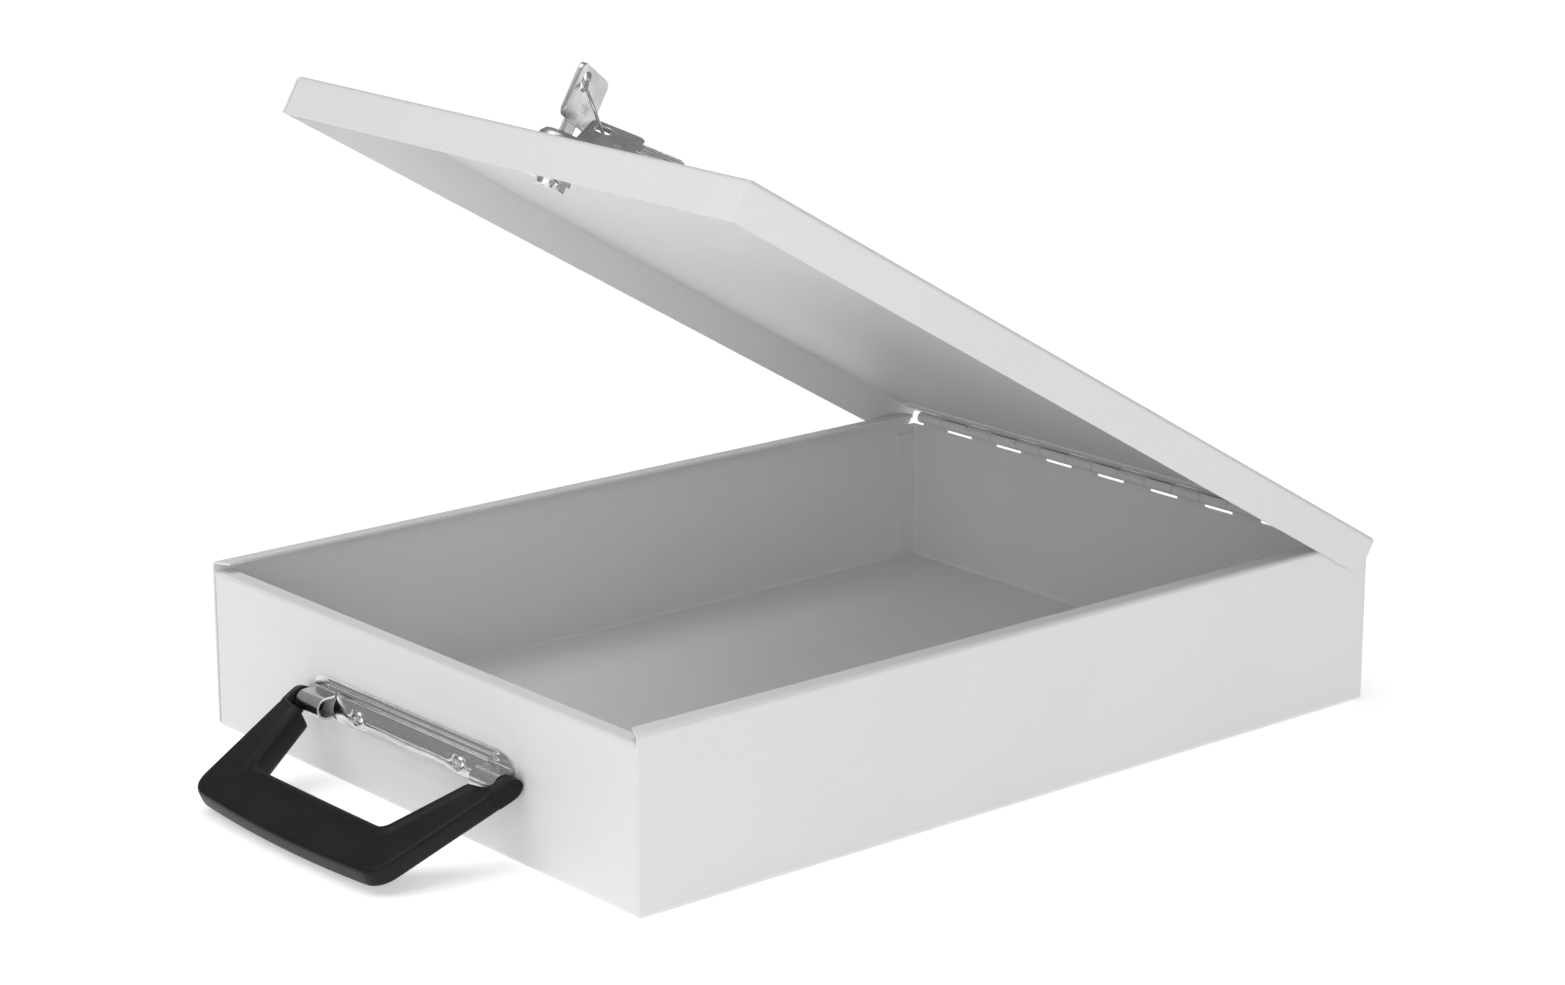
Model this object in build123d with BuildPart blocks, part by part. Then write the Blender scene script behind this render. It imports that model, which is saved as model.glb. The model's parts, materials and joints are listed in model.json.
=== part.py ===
import os
from math import cos, radians, sin

from build123d import *

# Portable steel document box: a folded tray, a hinged overlapping lid with a cam lock,
# a folding carry handle, and two keys on a wire ring.
# X runs across the box, Y from the handle end (-Y) to the hinge end (+Y), Z up.
# The origin is the centre of the tray's underside. The lid stands open at lid_angle.

# Tray, folded from one sheet
tray_width = 256.0
tray_length = 350.0
side_height = 64.5
front_height = 60.5
back_height = 58.5
sheet = 1.0
floor_bend = 2.2
rim_bend = 1.8
flange_width = 7.0
flange_mitre = 3.0
tab_width = 11.0
tab_margin = 3.5
rear_notch = 7.0
seam_width = 0.3
seam_depth = 0.6

# Lid, folded from one sheet, whose rims pass outside the tray
lid_angle = 30.0
lid_gap = 1.2
lid_rim_depth = 15.0
lid_rear_overhang = 0.5
lid_clip_length = 5.0
lid_clip_height = 8.0

# Continuous hinge
pin_radius = 1.25
pin_fit = 0.05
leaf_sheet = 1.0
knuckle_length = 15.0
knuckle_pairs = 8
knuckle_play = 0.4
knuckle_air = 0.35
slot_height = 2.4
tray_leaf_drop = 12.0
lid_leaf_width = 12.0

# Carry handle and its stamped bracket
pivot_height = 29.0
pivot_offset = 5.2
handle_droop = 25.0
handle_thickness = 9.4
handle_reach = 55.0
handle_bow = 2.5
handle_root_width = 132.0
handle_grip_width = 113.0
opening_root_width = 100.0
opening_grip_width = 78.0
opening_start = 6.0
opening_lead = 1.0
grip_depth = 18.5
grip_corner = 9.0
opening_corner = 6.0
handle_edge = 2.0
trunnion_radius = 3.3
trunnion_fit = 0.08
bracket_sheet = 0.8
bracket_length = 120.0
bracket_top = 10.0
bracket_foot = 1.4
hood_length = 14.0
strap_length = 42.0
strap_rise = 2.0
strap_height = 8.0
bead_radius = 0.8
bead_spacing = 2.6
bead_margin = 1.9
rivet_spacing = 61.4
rivet_radius = 1.6
rivet_head_radius = 3.1
rivet_head_height = 1.3
rivet_fit = 0.05
rivet_taper = 30
rivet_drop = 1.0
lug_gap = 1.0

# Cam lock
lock_setback = 24.0
face_radius = 9.2
face_top_radius = 7.9
face_height = 6.0
barrel_radius = 7.8
barrel_flats = 14.0
barrel_end_gap = 0.3
nut_width = 20.0
nut_thickness = 3.0
plug_radius = 5.4
plug_fit = 0.05
plug_head_radius = 6.2
plug_head_height = 1.4
plug_square = 6.4
cam_sheet = 1.8
cam_width = 12.0
cam_tip_width = 9.0
cam_wall_gap = 2.0
cam_flange_gap = 1.3
cam_tail = 7.0
cam_tail_drop = 3.0
washer_thickness = 0.6
washer_radius = 5.2
screw_radius = 1.5
screw_length = 3.2
screw_head_radius = 3.4
screw_head_height = 2.0
screw_taper = 15
wafer_count = 5
wafer_pitch = 2.0
wafer_start = 2.0
wafer_thickness = 0.6
wafer_length = 9.4
wafer_width = 4.4
wafer_play = 0.1
spring_radius = 0.45
spring_length = 1.6
spring_inset = 0.6

# Keys and ring
key_turn = 28.0
key_sheet = 2.0
key_fit = 0.15
blade_width = 8.4
blade_reach = 11.5
keyway_spare = 1.0
neck_length = 5.0
bow_width = 26.5
bow_height = 20.0
bow_shift = 3.2
bow_corner = 3.0
bow_hole_radius = 3.5
bow_hole_side = 7.0
bow_hole_top = 5.6
groove_width = 0.9
groove_depth = 0.4
groove_pitch = 2.6
bit_depth = 0.8
bit_pitch = 2.4
bit_count = 4
ring_wire = 0.6
ring_radius = 12.0
ring_heading = -72.6
ring_pitch = 43.1
key_hole_angle = 139.3
spare_hole_angle = -117.2
spare_heading = -75.0
spare_roll = 30.0

# Places that follow from the sizes
half_width = tray_width / 2
half_length = tray_length / 2
knuckle_radius = pin_radius + pin_fit + leaf_sheet
hinge_y = half_length - sheet - knuckle_radius
hinge_z = back_height + slot_height + knuckle_radius
lid_under = knuckle_radius + knuckle_air
lid_top = lid_under + sheet
lid_half_width = half_width + lid_gap + sheet
lid_front = -half_length - lid_gap - sheet - hinge_y
lid_rear = half_length + lid_rear_overhang - hinge_y
lid_rim_bottom = lid_top - lid_rim_depth
pivot_y = -half_length - pivot_offset
hood_inner = trunnion_radius + trunnion_fit
hood_outer = hood_inner + bracket_sheet
rivet_height = pivot_height - rivet_drop
lug_inner = bracket_length / 2 + lug_gap
cam_top = front_height - sheet - cam_flange_gap - hinge_z
cam_top_below_lid = lid_top - cam_top
barrel_length = cam_top_below_lid - barrel_end_gap
cam_reach = half_length - sheet - cam_wall_gap - (half_length + lid_gap + sheet - lock_setback)
plug_bottom = cam_top_below_lid + cam_sheet
key_shoulder = face_height + neck_length
hole_x = bow_shift - bow_width / 2 + bow_hole_side
hole_z = key_shoulder + bow_height - bow_hole_top

# Working planes. The lid frame lies on the hinge line, +Z out of the lid.
lid_normal = (0, sin(radians(lid_angle)), cos(radians(lid_angle)))
lid_frame = Plane((0, hinge_y, hinge_z), x_dir=(1, 0, 0), z_dir=lid_normal)
lid_side = Plane(lid_frame.origin, x_dir=lid_frame.y_dir, z_dir=(1, 0, 0))
lid_cross = Plane(lid_frame.origin, x_dir=(1, 0, 0), z_dir=-lid_frame.y_dir)
lock_origin = lid_frame.from_local_coords(Vector(0, lid_front + lock_setback, lid_top))
lock_frame = Plane(lock_origin, x_dir=(1, 0, 0), z_dir=lid_normal)
plug_turn = radians(90 + key_turn)
plug_x = lid_frame.x_dir * cos(plug_turn) + lid_frame.y_dir * sin(plug_turn)
plug_frame = Plane(lock_origin, x_dir=plug_x, z_dir=lid_normal)
handle_up = (0, -sin(radians(handle_droop)), cos(radians(handle_droop)))
handle_frame = Plane((0, pivot_y, pivot_height), x_dir=(-1, 0, 0), z_dir=handle_up)


os.makedirs("parts", exist_ok=True)


# ---- Tray: a pan with a rounded foot, flanged rims and corner tabs ----
with BuildPart() as pan_outside:
    with BuildSketch():
        Rectangle(tray_width, tray_length)
    extrude(amount=side_height)
    fillet(pan_outside.faces().sort_by(Axis.Z)[0].edges(), floor_bend)

with BuildPart() as pan_inside:
    with BuildSketch(Plane.XY.offset(sheet)):
        Rectangle(tray_width - 2 * sheet, tray_length - 2 * sheet)
    extrude(amount=side_height)
    fillet(pan_inside.faces().sort_by(Axis.Z)[0].edges(), floor_bend - sheet)

with BuildPart() as tray:
    add(pan_outside.part)
    add(pan_inside.part, mode=Mode.SUBTRACT)
    # Walls are trimmed below their rims, each side to its own height
    rim_height = 2 * rim_bend
    with Locations((0, 0, side_height)):
        Box(tray_width, tray_length, 2 * rim_height, mode=Mode.SUBTRACT)
    inner_width = tray_width - 2 * sheet
    front_space = (inner_width, 2 * sheet, side_height)
    with Locations((0, -half_length, front_height - rim_height + side_height / 2)):
        Box(*front_space, mode=Mode.SUBTRACT)
    with Locations((0, half_length, back_height + side_height / 2)):
        Box(*front_space, mode=Mode.SUBTRACT)
    # Side rims turn inward over the full length
    with BuildSketch(Plane.XZ):
        with BuildLine():
            FilletPolyline(
                (half_width, side_height - rim_height),
                (half_width, side_height),
                (half_width - flange_width, side_height),
                radius=rim_bend,
            )
            offset(amount=sheet, side=Side.LEFT, closed=True)
        make_face()
        mirror(about=Plane.YZ)
    extrude(amount=half_length, both=True)
    # Front rim turns inward between the side walls
    with BuildSketch(Plane.YZ):
        with BuildLine():
            FilletPolyline(
                (-half_length, front_height - rim_height),
                (-half_length, front_height),
                (-half_length + flange_width, front_height),
                radius=rim_bend,
            )
            offset(amount=sheet, side=Side.RIGHT, closed=True)
        make_face()
    extrude(amount=half_width - sheet, both=True)
    # Tabs from the end walls lie flat on the side walls
    tab_height = back_height - 2 * tab_margin
    for x in (-half_width + 1.5 * sheet, half_width - 1.5 * sheet):
        for y in (-half_length + sheet + tab_width / 2, half_length - sheet - tab_width / 2):
            with Locations((x, y, tab_margin + tab_height / 2)):
                Box(sheet, tab_width, tab_height)
    # Side flanges: mitred at the front, notched away at the rear corner
    with Locations((0, half_length, side_height)):
        Box(tray_width, 2 * rear_notch, 2 * (side_height - back_height), mode=Mode.SUBTRACT)
    with BuildSketch(Plane.XY.offset(side_height)):
        with BuildLine():
            Polyline(
                (half_width - sheet, -half_length),
                (half_width - flange_width, -half_length + flange_mitre),
                (half_width - flange_width, -half_length),
                close=True,
            )
        make_face()
        mirror(about=Plane.YZ)
    extrude(amount=-2 * sheet, mode=Mode.SUBTRACT)
    # Seams where the end walls meet the side walls
    seam_x = half_width - sheet - seam_width / 2
    for x in (-seam_x, seam_x):
        for y in (-half_length, half_length):
            with Locations((x, y, front_height / 2)):
                Box(seam_width, 2 * seam_depth, front_height, mode=Mode.SUBTRACT)
    # Rivet holes for the handle bracket
    with BuildSketch(Plane.XZ.offset(half_length)):
        with Locations((0, rivet_height)):
            with GridLocations(rivet_spacing, 0, 2, 1):
                Circle(rivet_radius + rivet_fit)
    extrude(amount=-2 * sheet, mode=Mode.SUBTRACT)
tray.part.label = "tray"
export_step(tray.part, "parts/tray.step")


# ---- Lid: a shallow cover with front and side rims and open corners ----
with BuildPart() as lid:
    # Top panel and side rims are one section along the lid
    with BuildSketch(lid_cross.offset(-lid_rear)):
        with BuildLine():
            FilletPolyline(
                (0, lid_top),
                (lid_half_width, lid_top),
                (lid_half_width, lid_rim_bottom),
                radius=rim_bend,
            )
            offset(amount=sheet, side=Side.RIGHT, closed=True)
        make_face()
        mirror(about=Plane.YZ)
    extrude(amount=lid_rear - lid_front)
    # The front edge of the panel is rounded, and the front rim bends down from it
    with BuildSketch(lid_side):
        with BuildLine():
            bend_low = (lid_front, lid_top - rim_bend)
            bend_high = (lid_front + rim_bend, lid_top)
            TangentArc(bend_low, bend_high, tangent=(0, 1))
            Line(bend_high, (lid_front, lid_top))
            Line((lid_front, lid_top), bend_low)
        make_face()
    extrude(amount=lid_half_width, both=True, mode=Mode.SUBTRACT)
    with BuildSketch(lid_side):
        with BuildLine():
            FilletPolyline(
                (lid_front + 4 * rim_bend, lid_top),
                (lid_front, lid_top),
                (lid_front, lid_rim_bottom),
                radius=rim_bend,
            )
            offset(amount=sheet, side=Side.LEFT, closed=True)
        make_face()
    extrude(amount=lid_half_width - sheet, both=True)
    # Rear lower corners of the side rims are clipped
    with BuildSketch(lid_side):
        with BuildLine():
            Polyline(
                (lid_rear, lid_rim_bottom),
                (lid_rear - lid_clip_length, lid_rim_bottom),
                (lid_rear, lid_rim_bottom + lid_clip_height),
                close=True,
            )
        make_face()
    extrude(amount=lid_half_width, both=True, mode=Mode.SUBTRACT)
    # Seams at the front corners
    lid_seam_x = lid_half_width - sheet - seam_width / 2
    with BuildSketch(lid_side.offset(-lid_seam_x - seam_width / 2)):
        with Locations((lid_front, lid_rim_bottom)):
            Rectangle(2 * seam_depth, 2 * (lid_rim_depth - rim_bend))
    extrude(amount=seam_width, mode=Mode.SUBTRACT)
    with BuildSketch(lid_side.offset(lid_seam_x - seam_width / 2)):
        with Locations((lid_front, lid_rim_bottom)):
            Rectangle(2 * seam_depth, 2 * (lid_rim_depth - rim_bend))
    extrude(amount=seam_width, mode=Mode.SUBTRACT)
    # Lock hole with two flats
    with BuildSketch(lock_frame):
        Circle(barrel_radius)
        Rectangle(2 * barrel_radius, barrel_flats, mode=Mode.INTERSECT)
    extrude(amount=-2 * sheet, mode=Mode.SUBTRACT)
lid.part.label = "lid"
export_step(lid.part, "parts/lid.step")


# ---- Continuous hinge: two leaves with rolled knuckles on one pin ----
hinge_length = 2 * knuckle_pairs * knuckle_length
tray_rolls = [(2 * i + 0.5) * knuckle_length - hinge_length / 2 for i in range(knuckle_pairs)]
lid_rolls = [x + knuckle_length for x in tray_rolls]
roll_clear = knuckle_radius + slot_height

with BuildPart() as hinge_tray_leaf:
    hinge_line = Plane((0, hinge_y, hinge_z), x_dir=(0, 1, 0), z_dir=(1, 0, 0))
    with BuildSketch(hinge_line):
        Circle(knuckle_radius)
        with Locations((knuckle_radius, 0)):
            Rectangle(leaf_sheet, tray_leaf_drop, align=(Align.MAX, Align.MAX))
        Circle(pin_radius, mode=Mode.SUBTRACT)
    extrude(amount=hinge_length / 2, both=True)
    for x in lid_rolls:
        with Locations((x, hinge_y, hinge_z + knuckle_radius)):
            depth = 2 * knuckle_radius + slot_height
            pocket = (Align.CENTER, Align.CENTER, Align.MAX)
            Box(knuckle_length, 2 * roll_clear, depth, align=pocket, mode=Mode.SUBTRACT)
hinge_tray_leaf.part.label = "hinge_tray_leaf"
export_step(hinge_tray_leaf.part, "parts/hinge_tray_leaf.step")

with BuildPart() as hinge_lid_leaf:
    with BuildSketch(lid_side):
        Circle(knuckle_radius)
        with Locations((0, lid_under)):
            Rectangle(lid_leaf_width, leaf_sheet, align=(Align.MAX, Align.MAX))
        Circle(pin_radius + pin_fit, mode=Mode.SUBTRACT)
    extrude(amount=hinge_length / 2, both=True)
    for x in tray_rolls:
        with BuildSketch(lid_side.offset(x - knuckle_length / 2)):
            Rectangle(2 * roll_clear, 2 * roll_clear)
        extrude(amount=knuckle_length, mode=Mode.SUBTRACT)
    for x in lid_rolls:
        for side in (-1, 1):
            edge = x + side * knuckle_length / 2
            with BuildSketch(lid_side.offset(edge - knuckle_play / 2)):
                Rectangle(2 * roll_clear, 2 * roll_clear)
            extrude(amount=knuckle_play, mode=Mode.SUBTRACT)
hinge_lid_leaf.part.label = "hinge_lid_leaf"
export_step(hinge_lid_leaf.part, "parts/hinge_lid_leaf.step")

with BuildPart() as hinge_pin:
    with BuildSketch(Plane((0, hinge_y, hinge_z), x_dir=(0, 1, 0), z_dir=(1, 0, 0))):
        Circle(pin_radius)
    extrude(amount=hinge_length / 2, both=True)
hinge_pin.part.label = "hinge_pin"
export_step(hinge_pin.part, "parts/hinge_pin.step")


# ---- Handle bracket: one stamped strip with a hood at each end ----
bracket_base = pivot_height - hood_outer - bracket_foot
bracket_crown = pivot_height + bracket_top
wall_side = Plane((0, -half_length, 0), x_dir=(0, -1, 0), z_dir=(-1, 0, 0))
strip_height = bracket_crown - bracket_base

with BuildPart() as handle_bracket:
    with Locations((0, -half_length - bracket_sheet / 2, bracket_base + strip_height / 2)):
        Box(bracket_length, bracket_sheet, strip_height)
    # Hoods over the trunnions, open at both ends
    with BuildSketch(wall_side):
        with Locations((pivot_offset, pivot_height)):
            Circle(hood_outer)
            Rectangle(pivot_offset, 2 * hood_outer, align=(Align.MAX, Align.CENTER))
    hood_span = bracket_length / 2 - hood_length
    extrude(amount=bracket_length / 2, both=True)
    with BuildSketch(wall_side):
        with Locations((pivot_offset, pivot_height)):
            Circle(hood_inner)
            Rectangle(pivot_offset, 2 * hood_inner, align=(Align.MAX, Align.CENTER))
    extrude(amount=bracket_length / 2, both=True, mode=Mode.SUBTRACT)
    # Between the hoods the strip lies flat on the wall
    with Locations((0, -half_length - bracket_sheet, pivot_height)):
        flat_space = (2 * hood_span, 3 * pivot_offset, 2 * hood_outer)
        front_side = (Align.CENTER, Align.MAX, Align.CENTER)
        Box(*flat_space, align=front_side, mode=Mode.SUBTRACT)
    with Locations((0, -half_length, pivot_height)):
        Box(2 * hood_span, bracket_sheet, 2 * hood_outer, align=front_side)
    # A low channel stiffens the strip between the rivets
    with BuildSketch(wall_side):
        with BuildLine():
            ThreePointArc(
                (0, rivet_height - strap_height / 2),
                (bracket_sheet + strap_rise, rivet_height),
                (0, rivet_height + strap_height / 2),
            )
            Line((0, rivet_height + strap_height / 2), (0, rivet_height - strap_height / 2))
        make_face()
    extrude(amount=strap_length / 2, both=True)
    with BuildSketch(wall_side):
        with BuildLine():
            low = rivet_height - strap_height / 2 + bracket_sheet
            high = rivet_height + strap_height / 2 - bracket_sheet
            ThreePointArc((0, low), (strap_rise, rivet_height), (0, high))
            Line((0, high), (0, low))
        make_face()
    extrude(amount=strap_length / 2, both=True, mode=Mode.SUBTRACT)
    # Two beads along the upper edge
    with BuildSketch(wall_side):
        with Locations(
            (bracket_sheet, bracket_crown - bead_margin),
            (bracket_sheet, bracket_crown - bead_margin - bead_spacing),
        ):
            Circle(bead_radius)
        with Locations((0, pivot_height)):
            Rectangle(2 * pivot_offset, 4 * bracket_top, align=(Align.MAX, Align.CENTER), mode=Mode.SUBTRACT)
    extrude(amount=bracket_length / 2 - bead_margin, both=True)
    with BuildSketch(Plane.XZ.offset(half_length)):
        with Locations((0, rivet_height)):
            with GridLocations(rivet_spacing, 0, 2, 1):
                Circle(rivet_radius + rivet_fit)
    extrude(amount=2 * bracket_sheet, mode=Mode.SUBTRACT)
handle_bracket.part.label = "handle_bracket"
export_step(handle_bracket.part, "parts/handle_bracket.step")


# ---- Rivets: domed outside, flat-headed inside ----
with BuildPart() as handle_rivets:
    inner_face = Plane.XZ.offset(half_length - sheet)
    outer_face = Plane.XZ.offset(half_length + bracket_sheet)
    with BuildSketch(inner_face):
        with Locations((0, rivet_height)):
            with GridLocations(rivet_spacing, 0, 2, 1):
                Circle(rivet_radius)
    extrude(amount=sheet + bracket_sheet)
    with BuildSketch(outer_face):
        with Locations((0, rivet_height)):
            with GridLocations(rivet_spacing, 0, 2, 1):
                Circle(rivet_head_radius)
    extrude(amount=rivet_head_height, taper=rivet_taper)
    with BuildSketch(inner_face):
        with Locations((0, rivet_height)):
            with GridLocations(rivet_spacing, 0, 2, 1):
                Circle(rivet_head_radius)
    extrude(amount=-rivet_head_height / 2)
handle_rivets.part.label = "handle_rivets"
export_step(handle_rivets.part, "parts/handle_rivets.step")


# ---- Carry handle: a moulded trapezoid loop with a trunnion on each arm ----
with BuildPart(handle_frame) as handle:
    half_root = handle_root_width / 2
    half_grip = handle_grip_width / 2
    with BuildSketch(handle_frame) as handle_outline:
        with BuildLine():
            Line((-half_root, 0), (-half_grip, handle_reach))
            ThreePointArc(
                (-half_grip, handle_reach),
                (0, handle_reach + handle_bow),
                (half_grip, handle_reach),
            )
            Line((half_grip, handle_reach), (half_root, 0))
            Line((half_root, 0), (-half_root, 0))
        make_face()
        grip_corners = handle_outline.vertices().group_by(Axis.Y)[-1]
        fillet(grip_corners, grip_corner)
        with BuildLine():
            opening_end = handle_reach - grip_depth
            Polyline(
                (-opening_root_width / 2, -opening_lead),
                (-opening_root_width / 2, opening_start),
                (-opening_grip_width / 2, opening_end),
                (opening_grip_width / 2, opening_end),
                (opening_root_width / 2, opening_start),
                (opening_root_width / 2, -opening_lead),
                close=True,
            )
        make_face(mode=Mode.SUBTRACT)
        inner_corners = handle_outline.vertices().filter_by_position(
            Axis.Y, opening_end - handle_edge, opening_end + handle_edge
        )
        fillet(inner_corners, opening_corner)
    extrude(amount=handle_thickness / 2, both=True)
    flat_faces = handle.faces().sort_by(Axis(handle_frame.origin, handle_up))
    chamfer(flat_faces[-1].edges() + flat_faces[0].edges(), handle_edge)
    with BuildSketch(handle_frame):
        Rectangle(2 * lug_inner, 2 * opening_start)
    extrude(amount=handle_thickness, both=True, mode=Mode.SUBTRACT)
    # Each arm ends in a round eye on the pivot line, with a trunnion pointing inward
    for side in (-1, 1):
        eye_plane = Plane((0, pivot_y, pivot_height), x_dir=(0, 1, 0), z_dir=(side, 0, 0))
        with BuildSketch(eye_plane.offset(lug_inner)):
            Circle(handle_thickness / 2)
        extrude(amount=half_root - lug_inner)
        with BuildSketch(eye_plane.offset(hood_span)):
            Circle(trunnion_radius)
        extrude(amount=half_root - hood_span)
handle.part.label = "handle"
export_step(handle.part, "parts/handle.step")


# ---- Cam lock: housing, nut, turning plug, cam, washer and screw ----
with BuildPart(lock_frame) as lock_housing:
    with BuildSketch(lock_frame):
        Circle(face_radius)
    with BuildSketch(lock_frame.offset(face_height)):
        Circle(face_top_radius)
    loft()
    with BuildSketch(lock_frame):
        Circle(barrel_radius)
        Rectangle(2 * barrel_radius, barrel_flats, mode=Mode.INTERSECT)
    extrude(amount=-barrel_length)
    with BuildSketch(lock_frame.offset(face_height)):
        Circle(plug_radius + plug_fit)
    extrude(amount=-face_height - barrel_length, mode=Mode.SUBTRACT)
    with BuildSketch(lock_frame.offset(face_height)):
        Circle(plug_head_radius + plug_fit)
    extrude(amount=-plug_head_height - plug_fit, mode=Mode.SUBTRACT)
lock_housing.part.label = "lock_housing"
export_step(lock_housing.part, "parts/lock_housing.step")

with BuildPart(lock_frame) as lock_nut:
    with BuildSketch(lock_frame.offset(-sheet)):
        RegularPolygon(nut_width / 2, 6, major_radius=False)
    extrude(amount=-nut_thickness)
    with BuildSketch(lock_frame.offset(-sheet)):
        Circle(barrel_radius)
        Rectangle(2 * barrel_radius, barrel_flats, mode=Mode.INTERSECT)
    extrude(amount=-nut_thickness, mode=Mode.SUBTRACT)
lock_nut.part.label = "lock_nut"
export_step(lock_nut.part, "parts/lock_nut.step")

wafer_places = [
    face_height - plug_head_height - wafer_start - i * wafer_pitch for i in range(wafer_count)
]
wafer_window = blade_width + 2 * key_fit
spring_x = wafer_length / 2 - spring_length / 2 - spring_inset

with BuildPart(plug_frame) as lock_plug:
    with BuildSketch(plug_frame.offset(face_height)):
        Circle(plug_head_radius)
    extrude(amount=-plug_head_height)
    with BuildSketch(plug_frame.offset(face_height)):
        Circle(plug_radius)
    extrude(amount=-face_height - cam_top_below_lid)
    with BuildSketch(plug_frame.offset(-cam_top_below_lid)):
        Rectangle(plug_square, plug_square)
    extrude(amount=-cam_sheet)
    # Keyway, wafer slots and the blind hole for the cam screw
    with BuildSketch(plug_frame.offset(face_height)):
        Rectangle(wafer_window, key_sheet + 2 * key_fit)
    extrude(amount=-blade_reach - keyway_spare, mode=Mode.SUBTRACT)
    for depth in wafer_places:
        with BuildSketch(plug_frame.offset(depth)):
            Rectangle(wafer_length + 2 * wafer_play, wafer_width + 2 * wafer_play)
            with Locations((spring_x, wafer_width / 2 + spring_radius)):
                Rectangle(spring_length, 2 * spring_radius)
        extrude(amount=-wafer_thickness - 2 * wafer_play, mode=Mode.SUBTRACT)
    with BuildSketch(plug_frame.offset(-plug_bottom)):
        Circle(screw_radius)
    extrude(amount=screw_length, mode=Mode.SUBTRACT)
lock_plug.part.label = "lock_plug"
export_step(lock_plug.part, "parts/lock_plug.step")

with BuildPart(plug_frame) as lock_cam:
    with BuildSketch(plug_frame.offset(-cam_top_below_lid)):
        with BuildLine():
            tip_start = cam_reach - cam_tip_width / 2
            Line((-cam_width / 2, -cam_tail), (-cam_width / 2, cam_width / 2))
            Line((-cam_width / 2, cam_width / 2), (-cam_tip_width / 2, tip_start))
            ThreePointArc(
                (-cam_tip_width / 2, tip_start), (0, cam_reach), (cam_tip_width / 2, tip_start)
            )
            Line((cam_tip_width / 2, tip_start), (cam_width / 2, cam_width / 2))
            Line((cam_width / 2, cam_width / 2), (cam_width / 2, -cam_tail))
            Line((cam_width / 2, -cam_tail), (-cam_width / 2, -cam_tail))
        make_face()
        Rectangle(plug_square, plug_square, mode=Mode.SUBTRACT)
    extrude(amount=-cam_sheet)
    # Finger tab bent down at the tail
    with BuildSketch(plug_frame.offset(-cam_top_below_lid)):
        with Locations((0, -cam_tail)):
            Rectangle(cam_width / 2, sheet, align=(Align.CENTER, Align.MIN))
    extrude(amount=-cam_sheet - cam_tail_drop)
lock_cam.part.label = "lock_cam"
export_step(lock_cam.part, "parts/lock_cam.step")

with BuildPart(plug_frame) as cam_washer:
    with BuildSketch(plug_frame.offset(-plug_bottom)):
        Circle(washer_radius)
        Circle(screw_radius, mode=Mode.SUBTRACT)
    extrude(amount=-washer_thickness)
cam_washer.part.label = "cam_washer"
export_step(cam_washer.part, "parts/cam_washer.step")

with BuildPart(plug_frame) as cam_screw:
    head_seat = -plug_bottom - washer_thickness
    with BuildSketch(plug_frame.offset(head_seat)):
        Circle(screw_radius)
    extrude(amount=screw_length + washer_thickness)
    with BuildSketch(plug_frame.offset(head_seat)):
        Circle(screw_head_radius)
    extrude(amount=-screw_head_height, taper=screw_taper)
    with BuildSketch(plug_frame.offset(head_seat - screw_head_height)):
        Rectangle(screw_head_radius, screw_head_height / 3)
        Rectangle(screw_head_height / 3, screw_head_radius)
    extrude(amount=screw_head_height / 2, mode=Mode.SUBTRACT)
cam_screw.part.label = "cam_screw"
export_step(cam_screw.part, "parts/cam_screw.step")

with BuildPart(plug_frame) as wafers:
    for depth in wafer_places:
        with BuildSketch(plug_frame.offset(depth - wafer_play)):
            Rectangle(wafer_length, wafer_width)
            Rectangle(wafer_window, key_sheet + 2 * key_fit, mode=Mode.SUBTRACT)
        extrude(amount=-wafer_thickness)
wafers.part.label = "wafers"
export_step(wafers.part, "parts/wafers.step")

with BuildPart(plug_frame) as wafer_springs:
    for depth in wafer_places:
        coil_depth = depth - wafer_play - wafer_thickness / 2
        with Locations((spring_x, wafer_width / 2 + spring_radius, coil_depth)):
            Cylinder(wafer_thickness / 2, spring_length - wafer_play, rotation=(0, 90, 0))
wafer_springs.part.label = "wafer_springs"
export_step(wafer_springs.part, "parts/wafer_springs.step")


# ---- Keys: flat blade with grooves and bits, and a wide bow with a corner hole ----
def flat_key(frame):
    # The key lies in the frame's XZ plane, its blade pointing to -Z
    face = Plane(frame.origin, x_dir=frame.x_dir, z_dir=-frame.y_dir)
    tip = face_height - blade_reach
    with BuildPart(frame) as blank:
        with BuildSketch(face):
            with Locations((bow_shift, key_shoulder + bow_height / 2)):
                RectangleRounded(bow_width, bow_height, bow_corner)
            with Locations((hole_x, hole_z)):
                Circle(bow_hole_radius, mode=Mode.SUBTRACT)
            with BuildLine():
                Polyline(
                    (-blade_width / 2, key_shoulder + bow_corner),
                    (-blade_width / 2, tip + blade_width / 4),
                    (-blade_width / 4, tip),
                    (blade_width / 4, tip),
                    (blade_width / 2, tip + blade_width / 4),
                    (blade_width / 2, key_shoulder + bow_corner),
                    close=True,
                )
            make_face()
            # Bits along both edges of the blade
            bits_start = tip + blade_width / 4 + bit_pitch / 2
            for i in range(bit_count):
                with Locations(
                    (-blade_width / 2, bits_start + i * bit_pitch),
                    (blade_width / 2, bits_start + i * bit_pitch),
                ):
                    Rectangle(bit_depth, bit_depth, rotation=45, mode=Mode.SUBTRACT)
        extrude(amount=key_sheet / 2, both=True)
        # Lengthwise grooves on both faces, up to the bow
        for side in (-1, 1):
            groove_plane = face.offset(side * key_sheet / 2)
            with BuildSketch(groove_plane):
                with Locations((0, (tip + key_shoulder) / 2)):
                    with GridLocations(groove_pitch, 0, 2, 1):
                        Rectangle(groove_width, key_shoulder - tip)
            extrude(amount=-side * groove_depth, mode=Mode.SUBTRACT)
    return blank.part


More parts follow.
